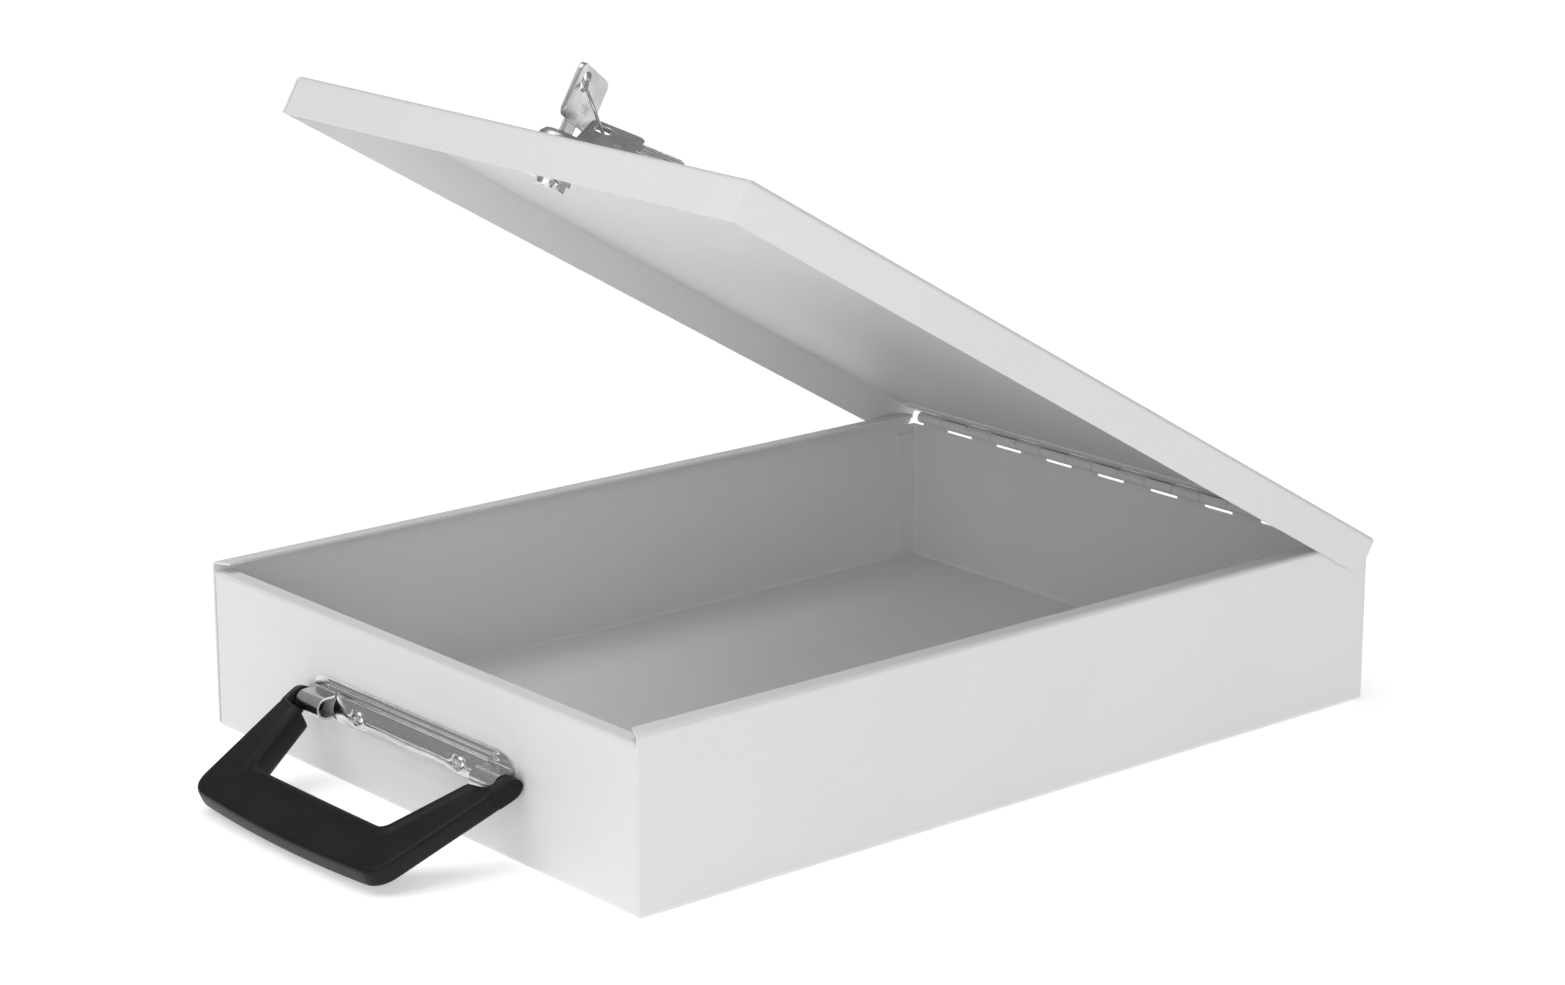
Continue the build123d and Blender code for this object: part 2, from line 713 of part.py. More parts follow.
key = flat_key(plug_frame)
key.label = "key"
export_step(key, "parts/key.step")

# The ring passes through both bow holes; the spare key lies over on the lid
ring_turn = radians(ring_heading)
ring_lift = radians(ring_pitch)
ring_axis = Vector(cos(ring_turn) * cos(ring_lift), sin(ring_turn) * cos(ring_lift), sin(ring_lift))
ring_level = Vector(0, 0, 1).cross(ring_axis).normalized()
ring_rise = ring_axis.cross(ring_level)


def on_ring(angle):
    # Way from the ring's centre to its wire
    return ring_level * (ring_radius * cos(radians(angle))) + ring_rise * (ring_radius * sin(radians(angle)))


ring_centre = Vector(hole_x, 0, hole_z) - on_ring(key_hole_angle)
spare_hole = ring_centre + on_ring(spare_hole_angle)
spare_along = Vector(cos(radians(spare_heading)), sin(radians(spare_heading)), 0)
level_side = spare_along.cross(Vector(0, 0, 1))
spare_across = level_side * cos(radians(spare_roll)) - Vector(0, 0, sin(radians(spare_roll)))
spare_up = spare_along * -1
spare_root = spare_hole - spare_across * hole_x - spare_up * hole_z


def in_plug(point):
    # A point given beside the plug, in the world
    return plug_frame.from_local_coords(point)


def plug_way(way):
    # A direction given beside the plug, in the world
    return plug_frame.from_local_coords(way) - plug_frame.origin


spare_frame = Plane(in_plug(spare_root), x_dir=plug_way(spare_across), z_dir=plug_way(spare_up))
spare_key = flat_key(spare_frame)
spare_key.label = "spare_key"
export_step(spare_key, "parts/spare_key.step")

with BuildPart(Plane(in_plug(ring_centre), z_dir=plug_way(ring_axis))) as key_ring:
    Torus(ring_radius, ring_wire)
key_ring.part.label = "key_ring"
export_step(key_ring.part, "parts/key_ring.step")
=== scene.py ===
import json
import math
import bmesh
import bpy
import numpy as np
from mathutils import Matrix, Vector


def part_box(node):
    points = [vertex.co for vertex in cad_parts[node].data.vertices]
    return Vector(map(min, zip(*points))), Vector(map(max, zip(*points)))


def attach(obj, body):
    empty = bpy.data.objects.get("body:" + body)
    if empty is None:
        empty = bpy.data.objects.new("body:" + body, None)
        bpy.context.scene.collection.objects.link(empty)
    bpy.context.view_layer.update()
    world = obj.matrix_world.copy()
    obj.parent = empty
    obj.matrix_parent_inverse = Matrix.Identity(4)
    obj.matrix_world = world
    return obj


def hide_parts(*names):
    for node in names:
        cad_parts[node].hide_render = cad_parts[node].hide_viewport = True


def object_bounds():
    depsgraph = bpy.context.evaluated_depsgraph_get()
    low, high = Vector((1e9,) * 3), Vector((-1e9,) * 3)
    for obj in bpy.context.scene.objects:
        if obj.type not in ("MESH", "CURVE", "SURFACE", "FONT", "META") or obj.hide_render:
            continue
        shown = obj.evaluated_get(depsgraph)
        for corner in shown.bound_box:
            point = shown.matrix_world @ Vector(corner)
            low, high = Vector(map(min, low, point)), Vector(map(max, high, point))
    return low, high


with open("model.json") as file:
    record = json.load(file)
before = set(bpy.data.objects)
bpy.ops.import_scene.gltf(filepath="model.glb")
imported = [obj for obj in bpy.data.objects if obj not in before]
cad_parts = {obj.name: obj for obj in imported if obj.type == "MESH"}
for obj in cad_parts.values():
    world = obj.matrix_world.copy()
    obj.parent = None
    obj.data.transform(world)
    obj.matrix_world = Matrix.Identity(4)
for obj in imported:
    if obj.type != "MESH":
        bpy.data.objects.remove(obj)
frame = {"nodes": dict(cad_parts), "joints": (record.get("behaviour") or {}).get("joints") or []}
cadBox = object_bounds()
joints = {joint["name"]: joint for joint in frame["joints"]}
mm = 0.001
print("frame loaded with", len(frame["nodes"]), "nodes")


def linked(name, data):  # a new object in the scene
    made = bpy.data.objects.new(name, data)
    bpy.context.scene.collection.objects.link(made)
    return made


# Camera, floor and studio light

camera = {
    "place": (1.06342, -0.90225, 0.47727),
    "turn": 49.886,  # degrees round the box, 0 looks along +Y
    "drop": 15.651,  # degrees above the horizon
    "lens": 89.31,
    "sensor": 36.0,
}
studio = {
    "floorSize": 60.0,
    "floorGap": 0.0002,
    "floorColour": (0.92, 0.92, 0.92, 1.0),
    "floorGlow": 0.42,
    "skyHigh": (1.0, 1.0, 1.0, 1.0),
    "skyLow": (0.90, 0.90, 0.91, 1.0),
    "skyStrength": 0.31,
    "panels": {  # where each panel stands, its size and its power
        "keyPanel": ((-0.7, -1.5, 1.5), 1.2, 4.0),
        "sidePanel": ((2.0, -1.0, 0.42), 1.2, 8.0),
        "fillPanel": ((1.0, -1.6, 0.5), 1.0, 5.0),
    },
    "overhead": ((-0.1, -0.2, 1.0), 50.0, 1.1),  # way to it, its spread and its strength
    "aim": (0.0, 0.0, 0.08),
}


def lookFrom(place, back):  # a turn that looks along -back with its X level
    right = Vector((0, 0, 1)).cross(back).normalized()
    up = back.cross(right)
    turned = Matrix((right, up, back)).transposed().to_4x4()
    return Matrix.Translation(place) @ turned


def makeCamera():
    turn, drop = math.radians(camera["turn"]), math.radians(camera["drop"])
    back = Vector((math.sin(turn) * math.cos(drop), -math.cos(turn) * math.cos(drop), math.sin(drop)))
    data = bpy.data.cameras.new("boxCamera")
    data.lens = camera["lens"]
    data.sensor_width = camera["sensor"]
    data.clip_start = 0.05
    made = linked("boxCamera", data)
    made.matrix_world = lookFrom(Vector(camera["place"]), back)
    bpy.context.scene.camera = made


def makeLights():
    way, spread, strength = studio["overhead"]
    sun = bpy.data.lights.new("overhead", "SUN")
    sun.angle = math.radians(spread)
    sun.energy = strength
    linked("overhead", sun).matrix_world = lookFrom(Vector((0, 0, 2)), Vector(way).normalized())
    for name, (place, size, power) in studio["panels"].items():
        data = bpy.data.lights.new(name, "AREA")
        data.size = size
        data.energy = power
        back = (Vector(place) - Vector(studio["aim"])).normalized()
        linked(name, data).matrix_world = lookFrom(Vector(place), back)


makeCamera()
makeLights()
bpy.context.scene.view_settings.view_transform = "Standard"
print("camera and lights set")


# Node tools

class Value:  # a node's output that takes plain arithmetic
    def __init__(self, owner, socket):
        self.owner = owner
        self.socket = socket

    def math(self, operation, first, second):
        return self.owner.node("ShaderNodeMath", {"operation": operation}, {0: first, 1: second})

    def __add__(self, other):
        return self.math("ADD", self, other)

    def __radd__(self, other):
        return self.math("ADD", other, self)

    def __sub__(self, other):
        return self.math("SUBTRACT", self, other)

    def __rsub__(self, other):
        return self.math("SUBTRACT", other, self)

    def __mul__(self, other):
        return self.math("MULTIPLY", self, other)


class Graph:  # a node tree and the one method that adds to it
    def __init__(self, tree):
        self.tree = tree
        self.tree.nodes.clear()

    def node(self, kind, settings=None, sockets=None, out=0):
        made = self.tree.nodes.new(kind)
        for key, value in (settings or {}).items():
            if key == "stops":
                ramp = made.color_ramp
                while len(ramp.elements) < len(value):
                    ramp.elements.new(0.5)
                for element, (place, shade) in zip(ramp.elements, value):
                    element.position = place
                    element.color = (shade, shade, shade, 1.0)
            else:
                setattr(made, key, value)
        for key, value in (sockets or {}).items():
            if isinstance(value, Value):
                self.tree.links.new(value.socket, made.inputs[key])
            else:
                made.inputs[key].default_value = value
        return Value(self, made.outputs[out]) if len(made.outputs) else None

    def also(self, value, name):  # another output of the node a value came from
        return Value(self, value.socket.node.outputs[name])


class Finish(Graph):  # a material
    def __init__(self, name):
        self.material = bpy.data.materials.new(name)
        self.material.use_nodes = True
        super().__init__(self.material.node_tree)
        self.place = self.node("ShaderNodeTexCoord", out="Object")

    def stretched(self, scale, turn=(0, 0, 0)):
        return self.node("ShaderNodeMapping", {}, {
            "Vector": self.place, "Scale": scale, "Rotation": turn})

    def noise(self, scale, detail=2.0, roughness=0.5, place=None):
        return self.node("ShaderNodeTexNoise", {}, {
            "Vector": place or self.place, "Scale": scale, "Detail": detail, "Roughness": roughness})

    def ramp(self, value, stops):
        return self.node("ShaderNodeValToRGB", {"stops": stops}, {"Fac": value})

    def mix(self, factor, first, second):
        return self.node("ShaderNodeMix", {"data_type": "RGBA"}, {0: factor, 6: first, 7: second}, out=2)

    def bump(self, height, strength, distance, normal=None):
        sockets = {"Height": height, "Strength": strength, "Distance": distance}
        if normal:
            sockets["Normal"] = normal
        return self.node("ShaderNodeBump", {}, sockets)

    def surface(self, sockets):
        shader = self.node("ShaderNodeBsdfPrincipled", {}, sockets)
        self.node("ShaderNodeOutputMaterial", {}, {"Surface": shader})
        return self.material


# Finishes

powderCoat = {
    "colour": (0.775, 0.775, 0.765, 1.0),
    "shade": (0.745, 0.745, 0.737, 1.0),
    "speck": (0.64, 0.64, 0.63, 1.0),
    "pebble": 820.0,  # pebbles to the metre
    "grit": 2600.0,
    "roughness": 0.42,
}


def makePowderCoat():
    f = Finish("powderCoat")
    pebble = f.noise(powderCoat["pebble"], 1.0, 0.4)
    grit = f.noise(powderCoat["grit"], 2.0, 0.6)
    cloud = f.noise(7.0, 3.0, 0.55)
    speck = f.ramp(f.noise(1500.0, 1.0, 0.5), [(0.0, 0.0), (0.73, 0.0), (0.78, 1.0), (1.0, 1.0)])
    colour = f.mix(f.ramp(cloud, [(0.35, 0.0), (0.65, 1.0)]), powderCoat["colour"], powderCoat["shade"])
    colour = f.mix(speck * 0.35, colour, powderCoat["speck"])
    relief = f.ramp(pebble, [(0.3, 0.0), (0.7, 1.0)]) * 0.8 + grit * 0.25
    return f.surface({
        "Base Color": colour,
        "Roughness": powderCoat["roughness"] - pebble * 0.12 + grit * 0.08,
        "Normal": f.bump(relief, 0.30, 0.00016),
        "IOR": 1.5,
    })


brightZinc = {
    "colour": (0.70, 0.70, 0.695, 1.0),
    "dull": (0.40, 0.40, 0.40, 1.0),
    "roughness": 0.16,
}


def makeBrightZinc():
    f = Finish("brightZinc")
    bloom = f.noise(90.0, 4.0, 0.6)
    drawn = f.noise(260.0, 3.0, 0.6, f.stretched((0.08, 1.0, 1.0)))
    wave = f.noise(110.0, 2.0, 0.5, f.stretched((0.35, 1.0, 1.0)))
    spangle = f.ramp(f.noise(1300.0, 2.0, 0.6), [(0.5, 0.0), (0.68, 1.0)])
    scuff = f.ramp(bloom, [(0.45, 0.0), (0.72, 1.0)])
    return f.surface({
        "Base Color": f.mix(scuff * 0.5 + spangle * 0.35, brightZinc["colour"], brightZinc["dull"]),
        "Metallic": 1.0,
        "Roughness": brightZinc["roughness"] + scuff * 0.12 + drawn * 0.10,
        "Normal": f.bump(drawn, 0.2, 0.00004, f.bump(wave, 0.35, 0.0002)),
    })


satinNickel = {
    "colour": (0.50, 0.498, 0.49, 1.0),
    "worn": (0.68, 0.675, 0.66, 1.0),
    "roughness": 0.27,
}


def makeSatinNickel():
    f = Finish("satinNickel")
    hairline = f.noise(900.0, 2.0, 0.6, f.stretched((1.0, 0.06, 1.0), (0.2, 0.3, 0.5)))
    cloud = f.noise(140.0, 4.0, 0.6)
    wear = f.ramp(cloud, [(0.4, 0.0), (0.7, 1.0)])
    return f.surface({
        "Base Color": f.mix(wear, satinNickel["colour"], satinNickel["worn"]),
        "Metallic": 1.0,
        "Roughness": satinNickel["roughness"] + hairline * 0.12 - wear * 0.05,
        "Normal": f.bump(hairline, 0.3, 0.00005, f.bump(cloud, 0.3, 0.0001)),
    })


plainSteel = {
    "colour": (0.58, 0.58, 0.585, 1.0),
    "stain": (0.42, 0.42, 0.42, 1.0),
    "roughness": 0.26,
}


def makePlainSteel():
    f = Finish("plainSteel")
    turned = f.noise(1100.0, 2.0, 0.5, f.stretched((1.0, 0.15, 0.15)))
    stain = f.ramp(f.noise(210.0, 4.0, 0.6), [(0.48, 0.0), (0.75, 1.0)])
    return f.surface({
        "Base Color": f.mix(stain, plainSteel["colour"], plainSteel["stain"]),
        "Metallic": 1.0,
        "Roughness": plainSteel["roughness"] + stain * 0.15 + turned * 0.08,
        "Normal": f.bump(turned, 0.3, 0.00004),
    })


blackPlastic = {
    "colour": (0.0050, 0.0050, 0.0053, 1.0),
    "rubbed": (0.014, 0.014, 0.0145, 1.0),
    "grain": 1700.0,
    "roughness": 0.36,
}


def makeBlackPlastic():
    f = Finish("blackPlastic")
    cells = f.node("ShaderNodeTexVoronoi", {"feature": "SMOOTH_F1"}, {
        "Vector": f.place, "Scale": blackPlastic["grain"], "Smoothness": 0.6, "Randomness": 1.0,
    })
    fine = f.noise(4200.0, 2.0, 0.6)
    rubbed = f.ramp(f.noise(60.0, 4.0, 0.6), [(0.45, 0.0), (0.8, 1.0)])
    tops = f.ramp(cells, [(0.15, 1.0), (0.6, 0.0)])
    return f.surface({
        "Base Color": f.mix(rubbed * 0.5 + tops * 0.25, blackPlastic["colour"], blackPlastic["rubbed"]),
        "Roughness": blackPlastic["roughness"] - tops * 0.12 + fine * 0.12,
        "Normal": f.bump(tops + fine * 0.25, 0.45, 0.0001),
        "Specular IOR Level": 0.20,
    })


wornBrass = {
    "colour": (0.74, 0.55, 0.27, 1.0),
    "tarnish": (0.42, 0.30, 0.14, 1.0),
}


def makeWornBrass():
    f = Finish("wornBrass")
    tarnish = f.ramp(f.noise(700.0, 4.0, 0.6), [(0.4, 0.0), (0.75, 1.0)])
    hairline = f.noise(1500.0, 2.0, 0.5, f.stretched((1.0, 0.1, 1.0)))
    return f.surface({
        "Base Color": f.mix(tarnish, wornBrass["colour"], wornBrass["tarnish"]),
        "Metallic": 1.0,
        "Roughness": 0.25 + tarnish * 0.2,
        "Normal": f.bump(hairline, 0.25, 0.00003),
    })


def makeFloorFinish():
    f = Finish("paleFloor")
    cloud = f.noise(3.0, 2.0, 0.5)
    return f.surface({
        "Base Color": studio["floorColour"],
        "Roughness": 0.75 + cloud * 0.1,
        "Specular IOR Level": 0.2,
        "Emission Color": (1.0, 1.0, 1.0, 1.0),
        "Emission Strength": studio["floorGlow"],
    })


finishes = {
    "coat": makePowderCoat(),
    "zinc": makeBrightZinc(),
    "nickel": makeSatinNickel(),
    "steel": makePlainSteel(),
    "black_plastic": makeBlackPlastic(),
    "brass": makeWornBrass(),
}
print("finishes made:", ", ".join(finishes))


# Floor and sky

def makeStudio():
    half = studio["floorSize"] / 2
    level = cadBox[0].z - studio["floorGap"]
    mesh = bpy.data.meshes.new("floorSheet")
    corners = [(-half, -half, level), (half, -half, level), (half, half, level), (-half, half, level)]
    mesh.from_pydata(corners, [], [(0, 1, 2, 3)])
    mesh.materials.append(makeFloorFinish())
    linked("floorSheet", mesh)
    world = bpy.data.worlds.new("studioSky")
    bpy.context.scene.world = world
    world.use_nodes = True
    g = Graph(world.node_tree)
    way = g.node("ShaderNodeTexCoord", out="Generated")
    height = g.also(g.node("ShaderNodeSeparateXYZ", {}, {0: way}), "Z")
    share = g.node("ShaderNodeMapRange", {}, {"Value": height, "From Min": 0.0, "From Max": 0.7})
    sky = g.node("ShaderNodeMix", {"data_type": "RGBA"}, {
        0: share, 6: studio["skyLow"], 7: studio["skyHigh"]}, out=2)
    light = g.node("ShaderNodeBackground", {}, {"Color": sky, "Strength": studio["skyStrength"]})
    g.node("ShaderNodeOutputWorld", {}, {"Surface": light})


makeStudio()
print("floor and sky made")


# Places and mesh tools. Pieces are made in millimetres in a frame of their own, then placed.

def frameAt(origin, acrossWay, upWay):
    z = Vector(upWay).normalized()
    y = z.cross(Vector(acrossWay)).normalized()
    turned = Matrix((y.cross(z), y, z)).transposed().to_4x4()
    return Matrix.Translation(Vector(origin)) @ turned @ Matrix.Scale(mm, 4)


def nodePoints(node, place):  # a CAD node's points in a piece's own frame
    inverse = place.inverted()
    return np.array([inverse @ v.co for v in frame["nodes"][node].data.vertices])


def nodeBox(node, place):
    points = nodePoints(node, place)
    return Vector(points.min(0)), Vector(points.max(0))


lidNormal = joints["lock_turn"]["axis"]
trayFrame = Matrix.Scale(mm, 4)
hingeFrame = frameAt(joints["lid_hinge"]["pos_m"], (1, 0, 0), (0, 0, 1))
lidFrame = frameAt(joints["lid_hinge"]["pos_m"], (1, 0, 0), lidNormal)
lockFrame = frameAt(joints["lock_turn"]["pos_m"], (1, 0, 0), lidNormal)
plugFrame = frameAt(joints["lock_turn"]["pos_m"], -Vector(joints["ring_swing"]["axis"]), lidNormal)


def addPiece(name, points, faces, place):
    mesh = bpy.data.meshes.new(name)
    mesh.from_pydata([place @ Vector(p) for p in points], [], faces)
    return linked(name, mesh)


def cleanMesh(piece, gap=0.002, outward=False):  # merges doubles, turns a closed shape's faces out
    shape = bmesh.new()
    shape.from_mesh(piece.data)
    bmesh.ops.remove_doubles(shape, verts=shape.verts, dist=gap * mm)
    bmesh.ops.dissolve_degenerate(shape, edges=shape.edges, dist=gap * mm / 2)
    if outward:
        bmesh.ops.recalc_face_normals(shape, faces=shape.faces)
    shape.to_mesh(piece.data)
    shape.free()
    return piece


def gridFaces(rows, columns, start=0, skip=None, loop=False):
    faces = []
    for r in range(rows - 1):
        for c in range(columns if loop else columns - 1):
            if skip and skip(r, c):
                continue
            d = (c + 1) % columns
            a, b = start + r * columns, start + (r + 1) * columns
            faces.append((a + c, a + d, b + d, b + c))
    return faces


def tubeFaces(rows, columns, closed=False):  # closed joins the last row to the first
    faces = gridFaces(rows + closed, columns, loop=True)
    return [tuple(v % (rows * columns) for v in face) for face in faces]


def spun(name, profile, place, steps=48, closed=False):  # (radius, height) pairs turned about Z
    turns = [math.tau * i / steps for i in range(steps)]
    points = [(r * math.cos(a), r * math.sin(a), height) for r, height in profile for a in turns]
    faces = tubeFaces(len(profile), steps, closed)
    return cleanMesh(addPiece(name, points, faces, place), outward=True)


def settle(piece):  # turns live modifiers into plain mesh
    graph = bpy.context.evaluated_depsgraph_get()
    baked = bpy.data.meshes.new_from_object(piece.evaluated_get(graph))
    piece.modifiers.clear()
    piece.data = baked
    return piece


def modify(piece, kind, **settings):  # a live modifier
    made = piece.modifiers.new(kind.lower(), kind)
    for key, value in settings.items():
        setattr(made, key, value)


def soften(piece, wall=0.0, edge=0.0, steps=2, angle=40.0, levels=0):
    if wall:
        modify(piece, "SOLIDIFY", thickness=wall * mm, offset=-1.0, use_even_offset=True,
               use_quality_normals=True)
    if levels:
        modify(piece, "SUBSURF", levels=levels, render_levels=levels)
    if edge:
        modify(piece, "BEVEL", width=edge * mm, segments=steps, limit_method="ANGLE",
               angle_limit=math.radians(angle))
    settle(piece)
    for face in piece.data.polygons:
        face.use_smooth = True
    if edge:
        modify(piece, "WEIGHTED_NORMAL", keep_sharp=True)
        settle(piece)
    return piece


def mount(piece, slot, body, *nodes):  # gives a piece its finish, body and CAD nodes
    piece.data.materials.clear()
    piece.data.materials.append(finishes[slot])
    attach(piece, body)
    if nodes:
        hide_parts(*nodes)
    return piece


def joinPieces(name, pieces):  # one mesh out of several, all placed already
    shape = bmesh.new()
    for piece in pieces:
        shape.from_mesh(piece.data)
        mesh = piece.data
        bpy.data.objects.remove(piece)
        bpy.data.meshes.remove(mesh)
    mesh = bpy.data.meshes.new(name)
    shape.to_mesh(mesh)
    shape.free()
    return linked(name, mesh)


def arc(middle, radius, start, end, steps):
    points = []
    for i in range(steps + 1):
        a = math.radians(start + (end - start) * i / steps)
        points.append((middle[0] + radius * math.cos(a), middle[1] + radius * math.sin(a)))
    return points


def spaced(start, end, steps):
    return [start + (end - start) * i / steps for i in range(steps + 1)]


def eased(x, low, high):  # 0 below low, 1 above high, smooth between
    t = min(1.0, max(0.0, (x - low) / (high - low)))
    return t * t * (3 - 2 * t)


# Tray: floor and side walls in one sheet, end walls welded to its foot and folded behind the side walls

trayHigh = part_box("tray")[1]
tray = {
    "halfWidth": trayHigh.x / mm,
    "halfLength": trayHigh.y / mm,
    "sideHeight": trayHigh.z / mm,
    "frontHeight": 60.5,
    "backHeight": 58.5,
    "sheet": 1.0,
    "footBend": 2.2,
    "rimBend": 1.8,
    "flange": 7.0,
    "mitre": 3.0,
    "rearNotch": 7.0,
    "tabWidth": 11.0,
    "tabMargin": 3.5,
    "cornerBend": 1.3,
    "bendSteps": 8,
    "edge": 0.22,
    "sideRows": (12.0, 24.0, 36.0, 48.0),
    "endLoops": (4.0, 40.0),  # how far from the ends the side walls carry extra loops
    "tabRows": (5.0, 53.0, 40),
    "padPart": 72.0,  # half the width that is meshed finely for the pad
    "padSteps": 96,
    "plainPart": 95.0,
    "lipEnd": 2.0,
    "padHalf": (57.0, 15.0),  # shallow pad pressed out behind the bracket
    "padMiddle": (0.0, 30.0),
    "padCorner": 9.0,
    "padRise": 0.45,
    "padSlope": 4.5,
}


def padRise(x, z):
    dx = abs(x - tray["padMiddle"][0]) - tray["padHalf"][0] + tray["padCorner"]
    dz = abs(z - tray["padMiddle"][1]) - tray["padHalf"][1] + tray["padCorner"]
    outside = math.hypot(max(dx, 0), max(dz, 0)) + min(max(dx, dz), 0) - tray["padCorner"]
    return tray["padRise"] * eased(-outside, -tray["padSlope"] / 2, tray["padSlope"] / 2)


def footInset(z, bend):
    return 0.0 if z >= bend else bend - math.sqrt(max(0.0, bend * bend - (bend - z) ** 2))


def traySides():
    t = tray
    hw, hl, r, rb = t["halfWidth"], t["halfLength"], t["footBend"], t["rimBend"]
    half = [(x, 0.0) for x in spaced(0.0, hw - r, 6)[:-1]]
    half += arc((hw - r, r), r, -90, 0, t["bendSteps"])
    half += [(hw, z) for z in t["sideRows"] + (t["backHeight"],)]
    half += arc((hw - rb, t["sideHeight"] - rb), rb, 0, 90, t["bendSteps"])
    half += [(hw - t["flange"] + d, t["sideHeight"]) for d in (t["lipEnd"], 0.0)]
    section = [(-x, z) for x, z in reversed(half[1:])] + half
    near, far = t["endLoops"]
    between = [-hl + near, -hl + far, 0.0, hl - far, hl - t["rearNotch"]]
    points = []
    for x, z in section:
        inset = footInset(z, r)
        lead = t["mitre"] * max(0.0, hw - t["sheet"] - abs(x)) / (t["flange"] - t["sheet"])
        front = lead if z > t["sideHeight"] - t["sheet"] / 2 else inset
        points += [(x, y, z) for y in [-hl + front] + between + [hl - inset]]
    columns = len(between) + 2
    high = [i for i, (x, z) in enumerate(section) if z >= t["backHeight"]]

    def notch(row, column):
        return column == columns - 2 and row in high and row + 1 in high

    return points, gridFaces(len(section), columns, 0, notch)


def endWall(side):  # side is -1 at the handle, 1 at the hinge
    t = tray
    hw, hl, r, rb, e = t["halfWidth"], t["halfLength"], t["footBend"], t["rimBend"], t["cornerBend"]
    height = t["frontHeight"] if side < 0 else t["backHeight"]
    rows = arc((hl - r, r), r, -90, 0, t["bendSteps"])
    tabLow, tabHigh = t["tabMargin"], t["backHeight"] - t["tabMargin"]
    rows += [(hl, z) for z in [tabLow] + spaced(*t["tabRows"]) + [tabHigh]]
    if side < 0:
        rows += arc((hl - rb, height - rb), rb, 0, 90, t["bendSteps"])
        rows += [(hl - t["flange"] + d, height) for d in (t["lipEnd"], 0.0)]
    else:
        rows += [(hl, height)]
    turns = [math.radians(a) for a in spaced(0, 90, 6)]
    points = []
    for y, z in rows:
        inset = footInset(z, r)
        edge = hw - max(t["sheet"], inset)
        flat = z > height - 0.01 and side < 0
        bend = 0.0 if inset >= t["sheet"] or flat else e * eased(t["sheet"] - inset, 0.0, t["sheet"])
        if side < 0 and y < hl:
            bend = 0.0
        out = [(edge - e * (1 - math.sin(a)), bend * (1 - math.cos(a))) for a in turns]
        out += [(edge, e + d) for d in (0.5, t["tabWidth"] / 2, t["tabWidth"] - e)]
        fine = spaced(-t["padPart"], t["padPart"], t["padSteps"])
        middle = [(x, 0.0) for x in [-t["plainPart"]] + fine + [t["plainPart"]]]
        line = [(-x, d) for x, d in reversed(out)] + middle + out
        for x, d in line:
            rise = padRise(x, z) if side < 0 and abs(x) < t["padPart"] + 0.5 and y == hl else 0.0
            points.append((x, side * (y - d + rise), z))
    columns = len(line)
    onTab = [i for i, (y, z) in enumerate(rows) if y == hl and tabLow - 0.01 <= z <= tabHigh + 0.01]

    def skip(row, column):
        outer = column < 3 or column >= columns - 4
        return outer and not (row in onTab and row + 1 in onTab)

    faces = gridFaces(len(rows), columns, 0, skip)
    if side > 0:
        faces = [tuple(reversed(f)) for f in faces]
    return points, faces


def makeTray():
    parts = []
    for name, (points, faces) in (("sides", traySides()), ("front", endWall(-1)), ("back", endWall(1))):
        parts.append(addPiece(name, points, faces, trayFrame))
    piece = cleanMesh(joinPieces("traySheet", parts), 0.004)
    soften(piece, wall=tray["sheet"], edge=tray["edge"])
    return mount(piece, "coat", "tray_body", "tray")


makeTray()
print("tray made")


# Lid: panel and side rims in one sheet, front rim welded to the panel's bend

lidLow, lidHigh = nodeBox("lid", lidFrame)
lid = {
    "halfWidth": lidHigh.x,
    "front": lidLow.y,
    "rear": lidHigh.y,
    "top": lidHigh.z,
    "bottom": lidLow.z,
    "sheet": 1.0,
    "bend": 1.8,
    "cornerBend": 0.7,
    "bendSteps": 8,
    "clip": (5.0, 8.0),
    "boreRadius": 7.8,
    "boreReach": 3.0,
    "edge": 0.22,
    "loops": [-300.0, -200.0, -100.0],
    "endLoops": (4.0, 1.0),
    "rimLoops": (-120.0, 120.0, 12),
}


def lidInset(z):
    low = lid["top"] - lid["bend"]
    return 0.0 if z <= low else lid["bend"] - math.sqrt(max(0.0, lid["bend"] ** 2 - (z - low) ** 2))


def lidCover():
    l = lid
    hw, top, bend = l["halfWidth"], l["top"], l["bend"]
    half = [(x, top) for x in spaced(0.0, hw - bend, 8)[:-1]]
    half += arc((hw - bend, top - bend), bend, 90, 0, l["bendSteps"])
    half += [(hw, z) for z in spaced(l["bottom"] + l["clip"][1], l["bottom"], 4)]
    section = [(-x, z) for x, z in reversed(half[1:])] + half
    near, far = l["endLoops"]
    between = [l["front"] + near] + l["loops"] + [l["rear"] - l["clip"][0] - far]
    points = []
    for x, z in section:
        clip = l["clip"][0] * max(0.0, 1 - (z - l["bottom"]) / l["clip"][1])
        points += [(x, y, z) for y in [l["front"] + lidInset(z)] + between + [l["rear"] - clip]]
    return points, [tuple(reversed(f)) for f in gridFaces(len(section), len(between) + 2)]


